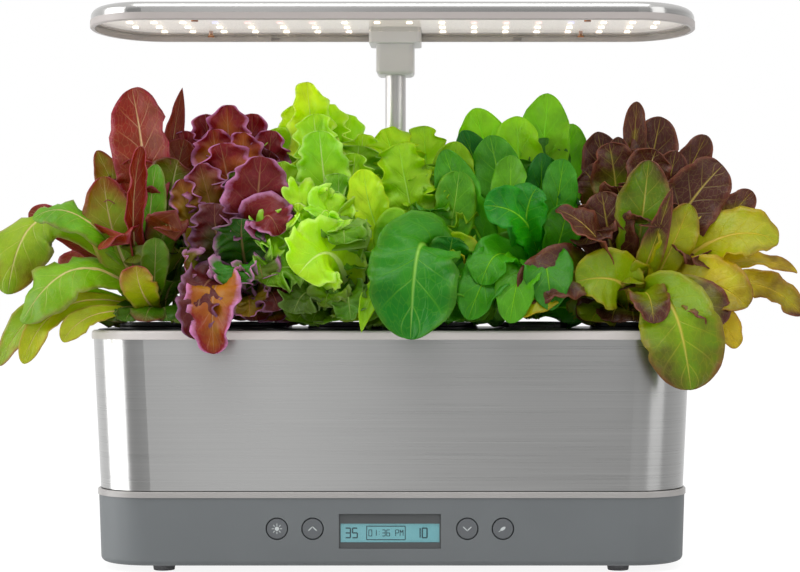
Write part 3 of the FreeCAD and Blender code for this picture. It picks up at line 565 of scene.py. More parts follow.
def leaf_tone(material, stalk, young, ripe, blush, gold, shade_and_mottle, rim, rim_share):
    """The blade's colour: ripe at the tip, flushed where it had light, and darkened by painted shade on
    leaves in the shade of others, and by a random mottle.
    """
    put = partial(add, material)
    across, along = leaf_position(material)
    # Red and yellow are the leaf's own tint; dark is painted shade, high on leaves that lie in the shade of
    # others
    tint_and_shade = put("Attribute", out="Vector", attribute_name="tint_and_shade")
    red, yellow, dark = [put("SeparateXYZ", [tint_and_shade], axis) for axis in "XYZ"]
    cloud = grain(material, LEAF_CLOUD_MM, detail=4)
    speck = grain(material, LEAF_SPECK_MM, detail=3)
    body = ramp(material, along, [(0.05, stalk), (0.35, young), (0.9, ripe)])
    patchy = put("MapRange", [cloud, 0.38, 0.66, 0.0, 0.55])
    body = put("Mix", {0: patchy, 6: body, 7: linear(young)}, **COLOURS)
    cloudy = put("MapRange", [cloud, 0.3, 0.6, 0.65, 1.0])
    gilded = put("Math", [yellow, cloudy], operation="MULTIPLY")
    body = put("Mix", {0: gilded, 6: body, 7: linear(gold)}, **COLOURS)
    # The flush starts at tip and edge and reaches further down the redder the leaf is
    reach = put("Math", [along, 0.9], operation="MULTIPLY")
    reach = put("Math", [across, 0.2, reach], operation="MULTIPLY_ADD")
    reach = put("Math", [cloud, 0.7, reach], operation="MULTIPLY_ADD")
    redness = put("MapRange", [red, 0.0, 1.0, -1.75, 0.1])
    reach = put("Math", [reach, redness], operation="ADD")
    flushed = put("MapRange", [reach, -0.1, 0.3, 0.0, 0.94])
    body = put("Mix", {0: flushed, 6: body, 7: linear(blush)}, **COLOURS)
    edge = put("Math", [speck, 0.3, across], operation="MULTIPLY_ADD")
    edge = put("MapRange", [edge, 0.9, 1.12, 0.0, rim_share])
    body = put("Mix", {0: edge, 6: body, 7: linear(rim)}, **COLOURS)
    # Painted shade: leaves marked dark are mixed towards the dark shade colour, and a random mottle takes
    # patches part of the way there too
    mottle = put("MapRange", [cloud, 0.5, 0.7, 0.0, 0.25])
    shade = put("Math", [dark, mottle], operation="MAXIMUM")
    return put("Mix", {0: shade, 6: body, 7: linear(shade_and_mottle)}, **COLOURS)


# %% Veins of a leaf
VEIN_PAIRS = 9.0
NET_CELLS = (7, 22, 9)


def leaf_veins(material):
    """Mask of the midrib, the side veins and the fine net between them."""
    put = partial(add, material)
    across, along = leaf_position(material)
    # Side veins rise from the midrib towards the edge, and fade before they reach it
    arch = put("Math", [across, 0.8], operation="POWER")
    climb = put("Math", [arch, -1.5], operation="MULTIPLY")
    phase = put("Math", [along, VEIN_PAIRS, climb], operation="MULTIPLY_ADD")
    off_vein = put("Math", [phase, 0.5], operation="PINGPONG")
    side_vein = put("MapRange", [off_vein, 0.0, 0.06, 1.0, 0.0])
    fade = put("MapRange", [across, 0.1, 0.9, 0.36, 0.03])
    side_vein = put("Math", [side_vein, fade], operation="MULTIPLY")
    place = put("Attribute", out="Vector", attribute_name="leaf")
    cells = put("Mapping", {"Vector": place, "Scale": NET_CELLS})
    from_wall = put("TexVoronoi", {"Vector": cells, "Scale": 1.0}, feature="DISTANCE_TO_EDGE")
    net = put("MapRange", [from_wall, 0.0, 0.07, 0.11, 0.0])
    # The midrib is a fifth of the blade wide at the stalk, and a thread at the tip
    half_rib = put("MapRange", [along, 0.0, 0.6, 0.2, 0.045])
    slimming = put("MapRange", [along, 0.6, 1.0, 1.0, 0.3])
    half_rib = put("Math", [half_rib, slimming], operation="MULTIPLY")
    past_rib = put("Math", [across, half_rib], operation="SUBTRACT")
    midrib = put("MapRange", [past_rib, -0.03, 0.02, 0.85, 0.0])
    veins = put("Math", [side_vein, net], operation="MAXIMUM")
    return put("Math", [veins, midrib], operation="MAXIMUM")


# %% Leaf material
TRANSLUCENT_SHARE = 0.38


def lettuce(name, stalk, young, ripe, blush, gold, shade_and_mottle, rib, rim="ffffff", rim_share=0.0, gloss=0.4):
    """Skin of a leaf: waxy, puckered between its veins, and lit from both sides."""
    material = new_material(name)
    put = partial(add, material)
    body = leaf_tone(material, stalk, young, ripe, blush, gold, shade_and_mottle, rim, rim_share)
    veins = leaf_veins(material)
    # Painted shade also fades the veins: the darker a leaf is painted, the less its veins show
    tint_and_shade = put("Attribute", out="Vector", attribute_name="tint_and_shade")
    in_light = put("MapRange", [put("SeparateXYZ", [tint_and_shade], "Z"), 0.0, 1.0, 1.0, 0.25])
    shown = put("Math", [veins, in_light], operation="MULTIPLY")
    tone = put("Mix", {0: shown, 6: body, 7: linear(rib)}, **COLOURS)
    tone = put("HueSaturation", {"Saturation": 1.1, "Value": 1.05, "Color": tone})
    speck = grain(material, LEAF_SPECK_MM, detail=3)
    bumps = put("Math", [speck, 0.5], operation="MULTIPLY")
    height = put("Math", [bumps, veins], operation="SUBTRACT")
    relief = put("Bump", {"Strength": 0.6, "Distance": 0.0012, "Height": height})
    cloud = grain(material, LEAF_CLOUD_MM, detail=4)
    rough = put("MapRange", [cloud, NOISE_LOW, NOISE_HIGH, gloss - 0.08, gloss + 0.12])
    skin = put("BsdfPrincipled", {"Base Color": tone, "Roughness": rough, "Normal": relief})
    # Light that has passed through is stronger in colour than light off the surface
    through = put("HueSaturation", {"Saturation": 1.1, "Value": 1.4, "Color": tone})
    glow = put("BsdfTranslucent", {"Color": through, "Normal": relief})
    return surface(material, put("MixShader", [TRANSLUCENT_SHARE, skin, glow]))


# %% [markdown]
# ## Shape of a leaf
# The width along a leaf rises from the stalk and falls to the tip, each as a power, so two numbers
# tell a romaine leaf from a lance. A blade that turns up and down more and more towards its edge
# ruffles as the real one does, with small curls on the very edge of the loose-leaf kinds.

# %% Leaf sizes
LEAF_THICKNESS = 0.0006
STALK_WIDTH = 4.5
STEM_SPREAD = 5
EDGE_CURLS = 12
PUCKER_HEIGHT = 0.7
BLISTERS_PER_MM = 0.085
RIM_OF_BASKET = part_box("basket_1")[1][2] / MM
CROWN_ABOVE_RIM = 3.7
# Leaves lower than this stop short of the next pod's basket, so that it lifts out past them
LOW_LEAF = 80
NEXT_BASKET = 35
OUTLINES = {"romaine": (1.5, 0.55), "round": (1.2, 0.5), "lance": (1.0, 0.95),
            "loose": (0.95, 0.42), "strap": (0.7, 0.5)}


def width_at(kind, t):
    rise, fall = OUTLINES[kind]
    peak = rise / (rise + fall)
    top = peak ** rise * (1 - peak) ** fall
    return max(t, 0.0) ** rise * max(1 - t, 0.0) ** fall / top


print("crown at", round(RIM_OF_BASKET + CROWN_ABOVE_RIM, 1), "mm")


# %% Leaf builder
class Plant:
    """Collects the leaves of one lettuce in one mesh."""

    def __init__(self, number, seed):
        low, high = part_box("basket_%d" % number)
        middle = [(a + b) / 2 / MM for a, b in zip(low, high)]
        self.number = number
        self.root = Vector((middle[0], middle[1], RIM_OF_BASKET + CROWN_ABOVE_RIM))
        self.chance = random.Random(seed)
        self.vertices = []
        self.faces = []
        self.places = []
        self.tints_and_shades = []

    def leaf(self, tip, bend, width, tint_and_shade=(0, 0, 0), kind="romaine", face=(0, -1, 0.2), ruffle=0.35, waves=3,
             cup=0.18, rows=32, columns=12, twist=0.2, frill=0.0):
        """One leaf from the stem to tip, in millimetres; its tint and shade are (red, yellow, dark) from 0 to
        1, where dark is painted shade.
        """
        chance = self.chance
        scatter = [chance.uniform(-STEM_SPREAD, STEM_SPREAD) for _ in range(2)]
        root = self.root + Vector((*scatter, 0))
        tip, bend, face = Vector(tip), Vector(bend), Vector(face).normalized()
        shift = chance.uniform(0, 6.28)
        twist = chance.uniform(-twist, twist)
        seed = chance.random()
        first = len(self.vertices)
        steps = columns // 2
        for i in range(rows + 1):
            # Rows crowd together at stalk and tip, where the outline turns most
            t = 0.5 - 0.5 * math.cos(math.pi * (i / rows) ** 0.9)
            way = ((bend - root) * (1 - t) + (tip - bend) * t).normalized()
            centre = root * (1 - t) ** 2 + bend * 2 * t * (1 - t) + tip * t * t
            side = face.cross(way)
            side = side.normalized() if side.length > 1e-4 else Vector((1, 0, 0))
            up = way.cross(side)
            lean = twist * t
            cosine, sine = math.cos(lean), math.sin(lean)
            side, up = side * cosine + up * sine, up * cosine - side * sine
            curl = 2 * math.pi * EDGE_CURLS * t
            wobble = 1 + 0.1 * math.sin(9 * t + shift) * t + 0.05 * frill * math.sin(curl + shift) * t
            blade = width / 2 * width_at(kind, t) * wobble
            half = max(blade, STALK_WIDTH / 2 * (1 - t) ** 0.5, 0.1)
            grow = min(1, 4 * t) * min(1, half / 5)
            for hand in (-1, 1):
                phase = 2 * math.pi * waves * t + shift + hand * 1.1
                wave = math.sin(phase) + 0.6 * math.sin(2.6 * phase + shift) * min(1, half / 9)
                point = centre.copy()
                line = []
                for k in range(1, steps + 1):
                    u = k / steps
                    # The blade turns up and down more and more towards its edge, which ruffles it
                    turn = cup * u * 2 + ruffle * grow * u ** 1.6 * wave
                    slip = 0.4 * ruffle * grow * u ** 2 * math.cos(phase * 1.3)
                    out = side * (hand * math.cos(turn)) + up * math.sin(turn) + way * slip
                    point = point + out * (half / steps)
                    # It puckers up between the side veins, and blisters where it likes
                    between = math.sin(2 * math.pi * (VEIN_PAIRS * t - 1.5 * u ** 0.8))
                    rise = PUCKER_HEIGHT * math.sin(math.pi * min(u * 1.2, 1)) * between * min(1, half / 12)
                    blister = noise.noise(point * BLISTERS_PER_MM + Vector((seed * 50, 0, 0)))
                    rise += blister * (1.4 + 1.6 * ruffle) * min(1, half / 10) * min(1, 3 * u)
                    rise += frill * grow * max(u - 0.4, 0) * math.sin(curl + 2.1 * hand)
                    line.append((point + up * rise, (hand * u, t, seed)))
                if hand < 0:
                    line = line[::-1] + [(centre, (0.0, t, seed))]
                for spot, place in line:
                    self.vertices.append(spot * MM)
                    self.places.append(place)
                    self.tints_and_shades.append(tint_and_shade)
        across = columns + 1
        for i in range(rows):
            for j in range(columns):
                a = first + i * across + j
                self.faces.append((a, a + 1, a + across + 1, a + across))

    def own_tint_and_shade(self, tint_and_shade, vary):
        return [min(max(part + self.chance.uniform(-vary, vary), 0), 1) for part in tint_and_shade]

    def fill(self, count, height, spread, width, tint_and_shade, sector=(0, 360), lean=(0, 0), vary=0.2, **more):
        """Leaves round the stem at seeded angles: the inner ones stand, the outer ones arch over."""
        chance = self.chance
        for k in range(count):
            share = (k + 0.5) / count
            angle = math.radians(sector[0] + (sector[1] - sector[0]) * ((k * 0.618) % 1.0))
            x, y = math.cos(angle), math.sin(angle)
            out = spread * (0.25 + 0.75 * share) * chance.uniform(0.85, 1.1)
            if height < LOW_LEAF:
                out = min(out, NEXT_BASKET / max(abs(x), 0.1))
            rise = height * (1.0 - 0.45 * share * share) * chance.uniform(0.88, 1.05)
            tip = self.root + Vector((x * out + lean[0], y * out + lean[1], rise * (1 - 0.5 * share)))
            bend = self.root + Vector((x * out * 0.5, y * out * 0.5, rise * (0.7 + 0.3 * share)))
            own = self.own_tint_and_shade(tint_and_shade, vary)
            face = (-x, -y, 0.5) if share > 0.3 else (0, -1, 0.3)
            self.leaf(tip, bend, width * chance.uniform(0.8, 1.15), own, face=face, **more)

    def skirt(self, count, tint_and_shade, sector=(180, 360), reach=48, width=22):
        """Old leaves that lie down on the deck round the stem, in the shade of the rest."""
        chance = self.chance
        for k in range(count):
            angle = math.radians(sector[0] + (sector[1] - sector[0]) * (k + 0.5) / count)
            x, y = math.cos(angle), math.sin(angle)
            out = min(reach * chance.uniform(0.8, 1.08), NEXT_BASKET / max(abs(x), 0.1))
            tip = self.root + Vector((x * out, y * out, 1.5 - CROWN_ABOVE_RIM))
            bend = self.root + Vector((x * out * 0.75, y * out * 0.75, chance.uniform(8, 22)))
            own = self.own_tint_and_shade(tint_and_shade, 0.2)
            self.leaf(tip, bend, width * chance.uniform(0.85, 1.2), own, face=(0.3 * x, -1, 0.4), cup=-0.2,
                      rows=24, columns=10)

    def build(self, material):
        """Makes the mesh, in place of the plant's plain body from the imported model."""
        name = "lettuce_%d" % self.number
        mesh = bpy.data.meshes.new(name)
        mesh.from_pydata(self.vertices, [], self.faces)
        # The second attribute carries red, yellow and dark, and the dark is painted shade
        for key, values in (("leaf", self.places), ("tint_and_shade", self.tints_and_shades)):
            kept = mesh.attributes.new(key, "FLOAT_VECTOR", "POINT")
            kept.data.foreach_set("vector", [part for value in values for part in value])
        mesh.polygons.foreach_set("use_smooth", [True] * len(mesh.polygons))
        mesh.update()
        piece = add_object(name, mesh, "pod_%d" % self.number, material)
        skin = piece.modifiers.new("thickness", "SOLIDIFY")
        skin.thickness = LEAF_THICKNESS
        skin.offset = 0
        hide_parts("plant_%d" % self.number)
        print(name, len(self.faces), "faces")


# %% [markdown]
# ## Six plants
# The leaves that face the camera are placed one by one after the photograph: tip, the point that
# the midrib bends towards, width, and its red, yellow and dark, where dark is painted shade.
# Behind and between them come leaves from a loop, so that each plant is whole from every side,
# and old leaves lie on the deck. The six kinds differ in their leaf habit: how wide and how
# ruffled a leaf is.

# %% Leaf habits
LOOSE = dict(kind="loose", ruffle=0.85, waves=4, frill=2.6, rows=84, columns=18)
GENTLE = dict(kind="loose", ruffle=0.5, waves=3, frill=1.4, rows=60, columns=16)
SOFT = dict(kind="round", ruffle=0.55, waves=4, rows=40, columns=14)
COS = dict(kind="romaine", ruffle=0.4, waves=3)
SKIRT = dict(kind="romaine", ruffle=0.45, waves=3, vary=0.35)
SKIRT_LOOSE = dict(kind="loose", ruffle=0.9, waves=4, frill=2.4, rows=64, columns=16, vary=0.35)
# Old low leaves that lie out over the deck in the shade of the rest
UNDER = dict(kind="romaine", ruffle=0.5, waves=3, vary=0.25, rows=24, columns=10)
print("ruffle of a loose leaf", LOOSE["ruffle"], "and of a romaine", COS["ruffle"])

# %% Plant 1, a red-tipped romaine at the left end
red_tip = lettuce("red_tipped_romaine_leaf", stalk="a8d834", young="62bc14", ripe="459a0a", blush="94101e",
                  gold="d8c418", shade_and_mottle="1a3a04", rib="e6d0a0", rim="c06888", rim_share=0.3)
one = Plant(1, 11)
one.fill(16, 122, 66, 30, (0.45, 0.15, 0.25))
one.fill(7, 60, 40, 20, (0.15, 0.1, 0.65), kind="strap")
one.leaf((-171, -15, 313), (-156, -28, 255), 40, (1.0, 0, 0), face=(-0.1, -1, 0), kind="round")
one.leaf((-140, 0, 315), (-152, 0, 262), 20, (1.0, 0, 0.2), "lance", face=(0.5, -1, 0))
one.leaf((-196, -4, 273), (-172, -4, 222), 20, (0.35, 0.5, 0.1), face=(0.2, -1, 0.3))
one.leaf((-160, -44, 273), (-172, -50, 215), 20, (0.72, 0.1, 0), face=(0.6, -1, 0), cup=0.7)
one.leaf((-152, -34, 262), (-160, -44, 205), 22, (0.1, 0.1, 0), face=(0, -1, 0), ruffle=0.4)
one.leaf((-249, -30, 178), (-236, -26, 285), 44, (0.2, 0.4, 0.1), face=(0.15, -0.6, 1), cup=-0.3)
one.leaf((-228, -50, 226), (-196, -50, 252), 30, (0.1, 0.15, 0), face=(0.1, -0.7, 0.8), cup=-0.3)
one.leaf((-243, 4, 232), (-212, 4, 226), 20, (1.0, 0, 0), "round", face=(0, -1, 0.3))
one.leaf((-233, -60, 160), (-196, -64, 228), 40, (0.0, 0.25, 0), "round", face=(-0.2, -0.9, 0.7), cup=-0.25)
one.leaf((-252, -40, 132), (-218, -52, 204), 20, (0.25, 0.4, 0), face=(0, -0.9, 0.4))
one.leaf((-232, -60, 134), (-214, -62, 196), 18, (0.1, 0.7, 0), face=(0, -0.9, 0.4))
one.leaf((-206, -64, 148), (-192, -62, 176), 16, (0.0, 0.6, 0), face=(0, -0.9, 0.4))
one.leaf((-224, 12, 186), (-205, 4, 220), 24, (0.5, 0.7, 0), face=(0, -0.8, 0.6))
one.leaf((-186, -34, 254), (-182, -40, 200), 34, (0.35, 0.4, 0.1), face=(0.1, -1, 0.2), kind="round")
one.leaf((-150, -48, 214), (-150, -52, 188), 20, (0.1, 0.2, 0.45), face=(0, -1, 0.1))
one.leaf((-160, -62, 196), (-160, -58, 174), 24, (0.3, 0.7, 0.1), face=(0, -1, 0.2), kind="round")
one.fill(9, 84, 46, 26, (0.2, 0.2, 0.35), sector=(180, 400), **SKIRT)
one.fill(9, 34, 48, 30, (0.15, 0.15, 0.6), **UNDER)
one.fill(8, 100, 30, 24, (0.15, 0.1, 0.45), sector=(200, 420), **SKIRT)
one.skirt(11, (0.2, 0.2, 0.55))
one.build(red_tip)

# %% Plant 2, a ruffled red loose-leaf
ruffled_red = lettuce("ruffled_red_leaf", stalk="9cc830", young="3f9c12", ripe="2f7c0c", blush="8a1c34",
                      gold="e88c14", shade_and_mottle="1c1006", rib="c89878", rim="d89ac8", rim_share=0.9)
two = Plant(2, 22)
two.fill(18, 118, 50, 42, (0.4, 0.35, 0.35), **LOOSE)
two.fill(9, 66, 46, 30, (0.25, 0.1, 0.7), sector=(170, 370), **LOOSE)
# The frilly crown, as tip x, y, z and how red and golden it is
RED_CROWN = [(-140, 0, 286, 0.5, 0.5), (-126, 8, 298, 0.7, 0.5), (-110, -4, 303, 0.42, 0.95),
             (-94, 4, 298, 0.6, 0.8), (-80, -6, 286, 0.8, 0.3), (-118, -14, 286, 0.4, 0.9),
             (-98, -14, 284, 0.35, 1.0)]
for x, y, z, red, gold in RED_CROWN:
    two.leaf((x, y, z), (x * 0.7 - 30, y, 236), 34, (red, gold, 0), **LOOSE)
two.leaf((-112, -24, 276), (-100, -20, 226), 44, (0.42, 0.95, 0), **LOOSE)
two.leaf((-98, -32, 258), (-96, -30, 214), 46, (0.05, 0.15, 0.25), **LOOSE)
two.leaf((-124, -34, 262), (-112, -34, 216), 30, (0.4, 0.5, 0.3), **LOOSE)
two.leaf((-83, -44, 266), (-88, -50, 214), 46, (0.72, 0.1, 0.15), face=(0.3, -1, 0.1), **GENTLE)
two.leaf((-70, -56, 216), (-84, -64, 256), 34, (0.8, 0.2, 0.1), face=(0.2, -1, 0.4), **GENTLE)
two.leaf((-136, -36, 252), (-126, -36, 205), 22, (0.3, 0.6, 0.2), face=(-0.2, -1, 0.3), **LOOSE)
two.leaf((-112, -50, 236), (-114, -54, 196), 38, (0.5, 0.0, 0.6), face=(0, -1, 0.3), **LOOSE)
two.leaf((-130, -60, 196), (-126, -58, 196), 28, (0.3, 0.3, 0.3), face=(0, -1, 0.5), **LOOSE)
two.leaf((-94, -56, 226), (-96, -60, 204), 36, (0.1, 0.0, 0.55), face=(0, -1, 0.4), **LOOSE)
two.leaf((-121, -74, 150), (-118, -82, 218), 32, (0.75, 0.3, 0.6), face=(-0.2, -1, 0.1), **GENTLE)
two.leaf((-109, -76, 141), (-114, -88, 220), 36, (0.42, 0.8, 0.05), face=(-0.3, -1, 0.2), **GENTLE)
two.leaf((-99, -68, 184), (-96, -66, 214), 36, (0.0, 0.0, 0.1), face=(0, -1, 0.5), **LOOSE)
two.leaf((-80, -64, 188), (-84, -62, 212), 34, (0.0, 0.15, 0.25), face=(0, -1, 0.5), **LOOSE)
two.leaf((-88, -62, 164), (-90, -62, 190), 28, (0.2, 0.5, 0.3), face=(0, -1, 0.3), **LOOSE)
two.leaf((-70, -62, 168), (-78, -62, 196), 26, (0.5, 0.3, 0.65), face=(0, -1, 0.3), **LOOSE)
two.fill(12, 72, 44, 30, (0.35, 0.25, 0.5), sector=(170, 380), **SKIRT_LOOSE)
two.fill(9, 34, 46, 32, (0.2, 0.1, 0.65), **UNDER)
two.skirt(12, (0.3, 0.3, 0.6), width=24)
two.build(ruffled_red)

# %% Plant 3, a ruffled green loose-leaf
ruffled_green = lettuce("ruffled_green_leaf", stalk="d8f080", young="a4e010", ripe="7ccc08", blush="8a8c10",
                        gold="e6f418", shade_and_mottle="0a5408", rib="eef8b0", rim="eaf6b0", rim_share=0.45)
three = Plant(3, 33)
three.fill(16, 116, 46, 42, (0.0, 0.35, 0.25), lean=(-4, 0), **LOOSE)
three.fill(9, 64, 44, 30, (0.1, 0.1, 0.75), sector=(190, 360), **LOOSE)
GREEN_CROWN = [(-78, 0, 288, 0.5), (-66, 6, 304, 0.8), (-57, -6, 318, 0.9), (-44, 2, 304, 0.7),
               (-32, 6, 298, 0.5), (-20, -2, 284, 0.6), (-52, -14, 296, 0.5)]
for x, y, z, gold in GREEN_CROWN:
    three.leaf((x, y, z), (x * 0.7 - 9, y, 240), 34, (0, gold, 0), **LOOSE)
three.leaf((-47, -28, 284), (-42, -30, 232), 38, (0, 0.2, 0.05), **GENTLE)
three.leaf((-24, -20, 270), (-28, -24, 222), 32, (0.1, 0.5, 0.1), **LOOSE)
three.leaf((-72, -26, 264), (-60, -26, 216), 36, (0, 0.35, 0.15), **LOOSE)
three.leaf((-34, -34, 256), (-34, -38, 214), 34, (0, 0.1, 0.35), **LOOSE)
three.leaf((-62, -52, 234), (-50, -60, 248), 40, (0, 0.4, 0), face=(0, -1, 0.6), **LOOSE)
three.leaf((-44, -60, 226), (-36, -60, 250), 34, (0, 0.3, 0), face=(0, -1, 0.6), **LOOSE)
three.leaf((-56, -82, 190), (-30, -70, 228), 50, (0, 0.45, 0), face=(0.1, -1, 0.3), **GENTLE)
three.leaf((-28, -66, 210), (-30, -66, 240), 36, (0, 0.15, 0.5), face=(0, -1, 0.6), **LOOSE)
three.leaf((-86, -54, 212), (-70, -60, 232), 36, (0.1, 0.2, 0.2), face=(-0.1, -1, 0.5), **LOOSE)
three.leaf((-78, -62, 184), (-66, -66, 214), 34, (0.2, 0.1, 0.45), face=(-0.1, -1, 0.5), **LOOSE)
three.leaf((-60, -68, 166), (-52, -66, 196), 30, (0.5, 0.1, 0.75), face=(0, -1, 0.4), **LOOSE)
three.leaf((-40, -66, 170), (-40, -66, 192), 28, (0.3, 0.4, 0.6), face=(0, -1, 0.4), **LOOSE)
three.leaf((-24, -68, 162), (-28, -66, 194), 26, (0.1, 0.1, 0.7), face=(0, -1, 0.4), **LOOSE)
three.fill(12, 72, 42, 32, (0.1, 0.15, 0.4), sector=(170, 370), **SKIRT_LOOSE)
three.fill(9, 34, 46, 32, (0.1, 0.1, 0.7), **UNDER)
three.skirt(12, (0.15, 0.2, 0.6), width=24)
three.build(ruffled_green)

# %% Plant 4, a soft green butterhead
butterhead = lettuce("green_butterhead_leaf", stalk="bce850", young="5ccc10", ripe="229c10", blush="c89420",
                     gold="d8f010", shade_and_mottle="00500e", rib="c8f080", rim="e8c070", rim_share=0.12)
four = Plant(4, 44)
four.fill(14, 112, 42, 36, (0.0, 0.3, 0.2), **SOFT)
four.fill(7, 60, 44, 26, (0.0, 0.1, 0.7), sector=(180, 360), **SOFT)
four.leaf((-6, 4, 288), (12, 4, 235), 38, (0, 0.85, 0), **LOOSE)
four.leaf((20, 6, 290), (24, 4, 235), 36, (0, 0.7, 0), **LOOSE)
four.leaf((4, -22, 276), (14, -24, 225), 38, (0, 0.6, 0), **LOOSE)
four.leaf((22, -18, 262), (24, -20, 222), 32, (0, 0.5, 0.1), **LOOSE)
four.leaf((-17, -44, 258), (-14, -50, 206), 26, (0, 0.9, 0), face=(0.2, -1, 0), **GENTLE)
four.leaf((12, -58, 226), (-14, -52, 214), 30, (0, 0.35, 0.05), face=(-0.2, -1, 0.3), kind="round")
four.leaf((20, -62, 210), (-8, -60, 206), 22, (0.3, 0.8, 0), face=(-0.1, -1, 0.5), kind="round")
four.leaf((14, -80, 150), (18, -88, 262), 60, (0, 0, 0.5), "round", ruffle=0.45, waves=3, columns=18, rows=48)
four.leaf((-17, -72, 154), (-12, -66, 206), 17, (0, 0.5, 0), "lance", face=(0, -1, 0.3))
four.leaf((44, -26, 258), (38, -30, 212), 30, (0, 0.15, 0.2), face=(0.1, -1, 0.1), kind="round")
four.leaf((54, -46, 196), (34, -56, 230), 22, (0.3, 0.7, 0.1), face=(0.3, -1, 0.4), cup=0.5)
four.leaf((42, -16, 278), (36, -10, 226), 30, (0, 0.5, 0.1), face=(0.1, -1, 0.1), kind="round")
four.fill(9, 70, 40, 24, (0.0, 0.1, 0.4), sector=(180, 360), **SKIRT)
four.fill(9, 34, 46, 32, (0.0, 0.0, 0.65), **UNDER)
four.leaf((40, -58, 214), (36, -58, 196), 30, (0, 0, 0.55), face=(0.2, -1, 0.1), **COS)
four.skirt(12, (0.0, 0.1, 0.55), width=24)
four.leaf((54, -60, 176), (44, -62, 208), 34, (0, 0.05, 0.3), face=(0.1, -1, 0.2), **COS)
four.leaf((46, -48, 200), (40, -50, 204), 32, (0, 0, 0.5), face=(0.2, -1, 0.1), **COS)
four.build(butterhead)

# %% Plant 5, a green romaine
cos_green = lettuce("green_romaine_leaf", stalk="a8e048", young="34b80c", ripe="0c880c", blush="5a8a20",
                    gold="bef010", shade_and_mottle="00440a", rib="b0ec60")
five = Plant(5, 55)
five.fill(16, 116, 52, 32, (0.0, 0.1, 0.35), **COS)
five.fill(8, 60, 50, 24, (0.0, 0.0, 0.7), sector=(310, 590), **COS)
five.leaf((54, 8, 302), (72, 14, 240), 36, (0, 0.8, 0), **COS)
five.leaf((46, -6, 286), (70, -4, 228), 30, (0, 0.0, 0.5), **COS)
five.leaf((82, 0, 296), (84, 4, 240), 34, (0, 0.85, 0), **COS)
five.leaf((103, 8, 312), (98, 8, 245), 34, (0, 0.6, 0), **COS)
five.leaf((120, 12, 292), (110, 14, 232), 32, (0, 0.5, 0.05), face=(0.2, -1, 0.1), **COS)
five.leaf((64, -16, 282), (76, -18, 225), 32, (0, 0.15, 0.15), **COS)
five.leaf((34, -24, 272), (52, -30, 215), 30, (0, 0.15, 0.1), face=(-0.2, -1, 0.1), **COS)
five.leaf((78, -30, 268), (74, -34, 215), 26, (0, 0.3, 0.1), face=(-0.3, -1, 0), **COS)
five.leaf((98, -24, 270), (96, -28, 216), 26, (0, 0.0, 0.55), **COS)
five.leaf((112, -26, 266), (104, -34, 214), 26, (0, 0.1, 0.2), face=(0.2, -1, 0), **COS)
five.leaf((60, -60, 234), (104, -56, 236), 34, (0, 0, 0.12), face=(0.1, -0.9, 0.5), **COS)
five.leaf((94, -52, 246), (80, -60, 232), 30, (0, 0, 0.25), face=(0, -0.8, 0.8), **COS)
five.leaf((114, -44, 236), (108, -50, 206), 24, (0, 0.15, 0.15), face=(0.2, -1, 0), **COS)
five.leaf((58, -64, 184), (72, -62, 232), 34, (0, 0.1, 0.05), face=(-0.3, -1, 0.4), **COS)
five.leaf((50, -66, 162), (72, -66, 232), 34, (0, 0.1, 0.2), face=(0, -1, 0.6), **COS)
five.leaf((76, -70, 160), (88, -68, 234), 30, (0, 0.2, 0.0), face=(0, -1, 0.6), **COS)
five.leaf((102, -70, 168), (98, -66, 236), 32, (0.1, 0.1, 0.4), face=(0, -1, 0.5), **COS)
five.fill(10, 74, 46, 28, (0.0, 0.1, 0.35), sector=(310, 590), **SKIRT)
five.fill(6, 104, 36, 28, (0.0, 0.1, 0.4), sector=(190, 350), **SKIRT)
five.fill(9, 34, 46, 30, (0.0, 0.0, 0.65), sector=(320, 580), **UNDER)
five.skirt(5, (0.0, 0.1, 0.5), sector=(180, 232), width=24)
five.skirt(4, (0.0, 0.1, 0.5), sector=(308, 360), width=24)
five.build(cos_green)

# %% Plant 6, a burgundy romaine at the right end
burgundy = lettuce("burgundy_romaine_leaf", stalk="b0d828", young="8cb810", ripe="6c9c0c", blush="581228",
                   gold="dcc01c", shade_and_mottle="1c0e04", rib="e0cc70", rim="c07860", rim_share=0.3, gloss=0.34)
six = Plant(6, 66)
six.fill(17, 118, 64, 32, (0.65, 0.15, 0.2), **COS)
six.fill(7, 58, 44, 24, (0.4, 0.2, 0.6), sector=(170, 350), **COS)
six.leaf((136, 4, 286), (146, 4, 230), 30, (0.9, 0.1, 0.1), **COS)
six.leaf((149, -4, 282), (150, -4, 232), 22, (1.0, 0, 0), **COS)
six.leaf((162, 2, 306), (158, 2, 250), 18, (0.5, 0.8, 0), **COS)
six.leaf((178, 4, 296), (166, 4, 238), 34, (0.85, 0.1, 0.1), face=(0.1, -1, 0.1), kind="round")
six.leaf((209, 8, 284), (184, 6, 236), 28, (0.7, 0.2, 0.1), face=(0.2, -1, 0.2), kind="round")
six.leaf((186, -16, 272), (176, -20, 222), 26, (0.9, 0.1, 0), face=(0.1, -1, 0.1), kind="round")
six.leaf((216, -22, 262), (182, -40, 232), 42, (1.0, 0, 0.15), face=(0, -1, 0.1), kind="round")
six.leaf((166, -42, 264), (160, -48, 210), 36, (0.35, 0.0, 0.15), face=(0, -1, 0), kind="round", cup=0.3)
six.leaf((180, -52, 246), (166, -56, 200), 18, (0.5, 0.3, 0), face=(0.2, -1, 0), kind="lance")
six.leaf((136, -36, 244), (142, -44, 204), 38, (0.7, 0.25, 0.1), face=(-0.1, -1, 0.1), kind="round")
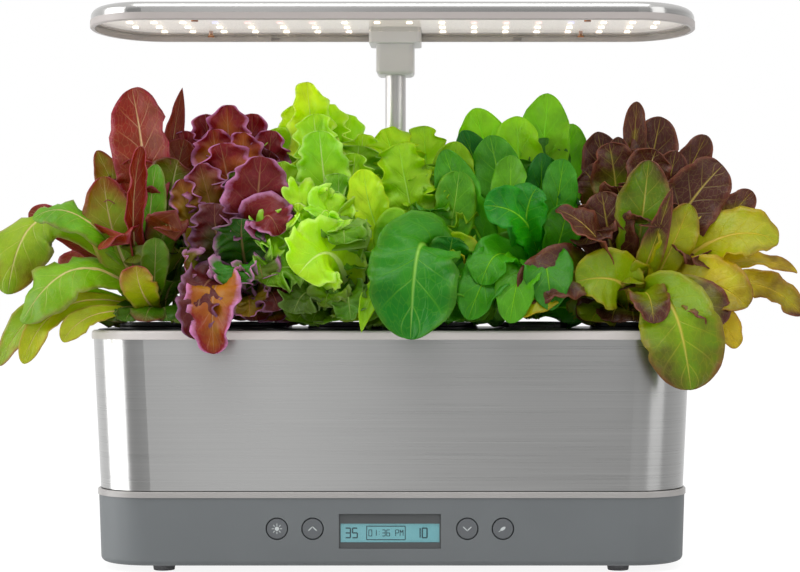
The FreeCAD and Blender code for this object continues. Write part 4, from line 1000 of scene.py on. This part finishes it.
six.leaf((106, -52, 232), (138, -64, 222), 30, (0.95, 0, 0), face=(0, -0.5, 1), kind="strap")
six.leaf((118, -60, 186), (158, -64, 196), 40, (0.05, 0.2, 0), face=(-0.2, -1, 0.2), kind="round")
six.leaf((84, -66, 176), (124, -68, 214), 40, (0.55, 0.15, 0.25), face=(0, -0.9, 0.4), kind="round")
six.leaf((82, -70, 164), (116, -66, 206), 22, (0.0, 0.5, 0.1), face=(0, -0.8, 0.6), **COS)
six.leaf((250, -38, 212), (206, -46, 234), 42, (0.2, 0.55, 0), face=(0, -0.9, 0.5), kind="round")
six.leaf((264, -26, 192), (220, -44, 216), 18, (0.25, 0.95, 0), face=(0, -0.7, 0.8), kind="strap")
six.leaf((226, -66, 170), (196, -58, 204), 38, (0.3, 0.75, 0), face=(0, -0.9, 0.4), kind="round")
six.leaf((268, -20, 164), (236, -16, 208), 24, (0.35, 0.8, 0), face=(0, -0.8, 0.6), kind="round")
six.leaf((190, -70, 118), (178, -90, 206), 52, (0.3, 0.1, 0.1), "round", face=(0.1, -1, 0.1), columns=14,
         rows=34)
six.leaf((208, -70, 158), (196, -78, 196), 30, (0.45, 0.3, 0.1), "round", face=(0.4, -1, 0.1))
six.leaf((220, -60, 144), (206, -66, 184), 22, (0.2, 0.9, 0), face=(0.3, -1, 0.2), kind="round")
six.leaf((166, -76, 160), (164, -66, 196), 28, (0.45, 0.2, 0.15), face=(0, -1, 0.3), kind="round")
six.leaf((192, -44, 236), (176, -54, 196), 26, (0.3, 0.5, 0), face=(0.3, -1, 0), **COS)
six.leaf((238, -4, 246), (210, -10, 216), 26, (0.5, 0.5, 0), face=(0.2, -1, 0.2), kind="round")
six.fill(10, 76, 46, 26, (0.35, 0.3, 0.35), sector=(150, 360), **SKIRT)
six.fill(9, 34, 46, 30, (0.25, 0.1, 0.65), **UNDER)
six.fill(8, 100, 34, 28, (0.5, 0.15, 0.45), sector=(180, 380), **SKIRT)
six.skirt(11, (0.35, 0.2, 0.55), width=24)
six.build(burgundy)
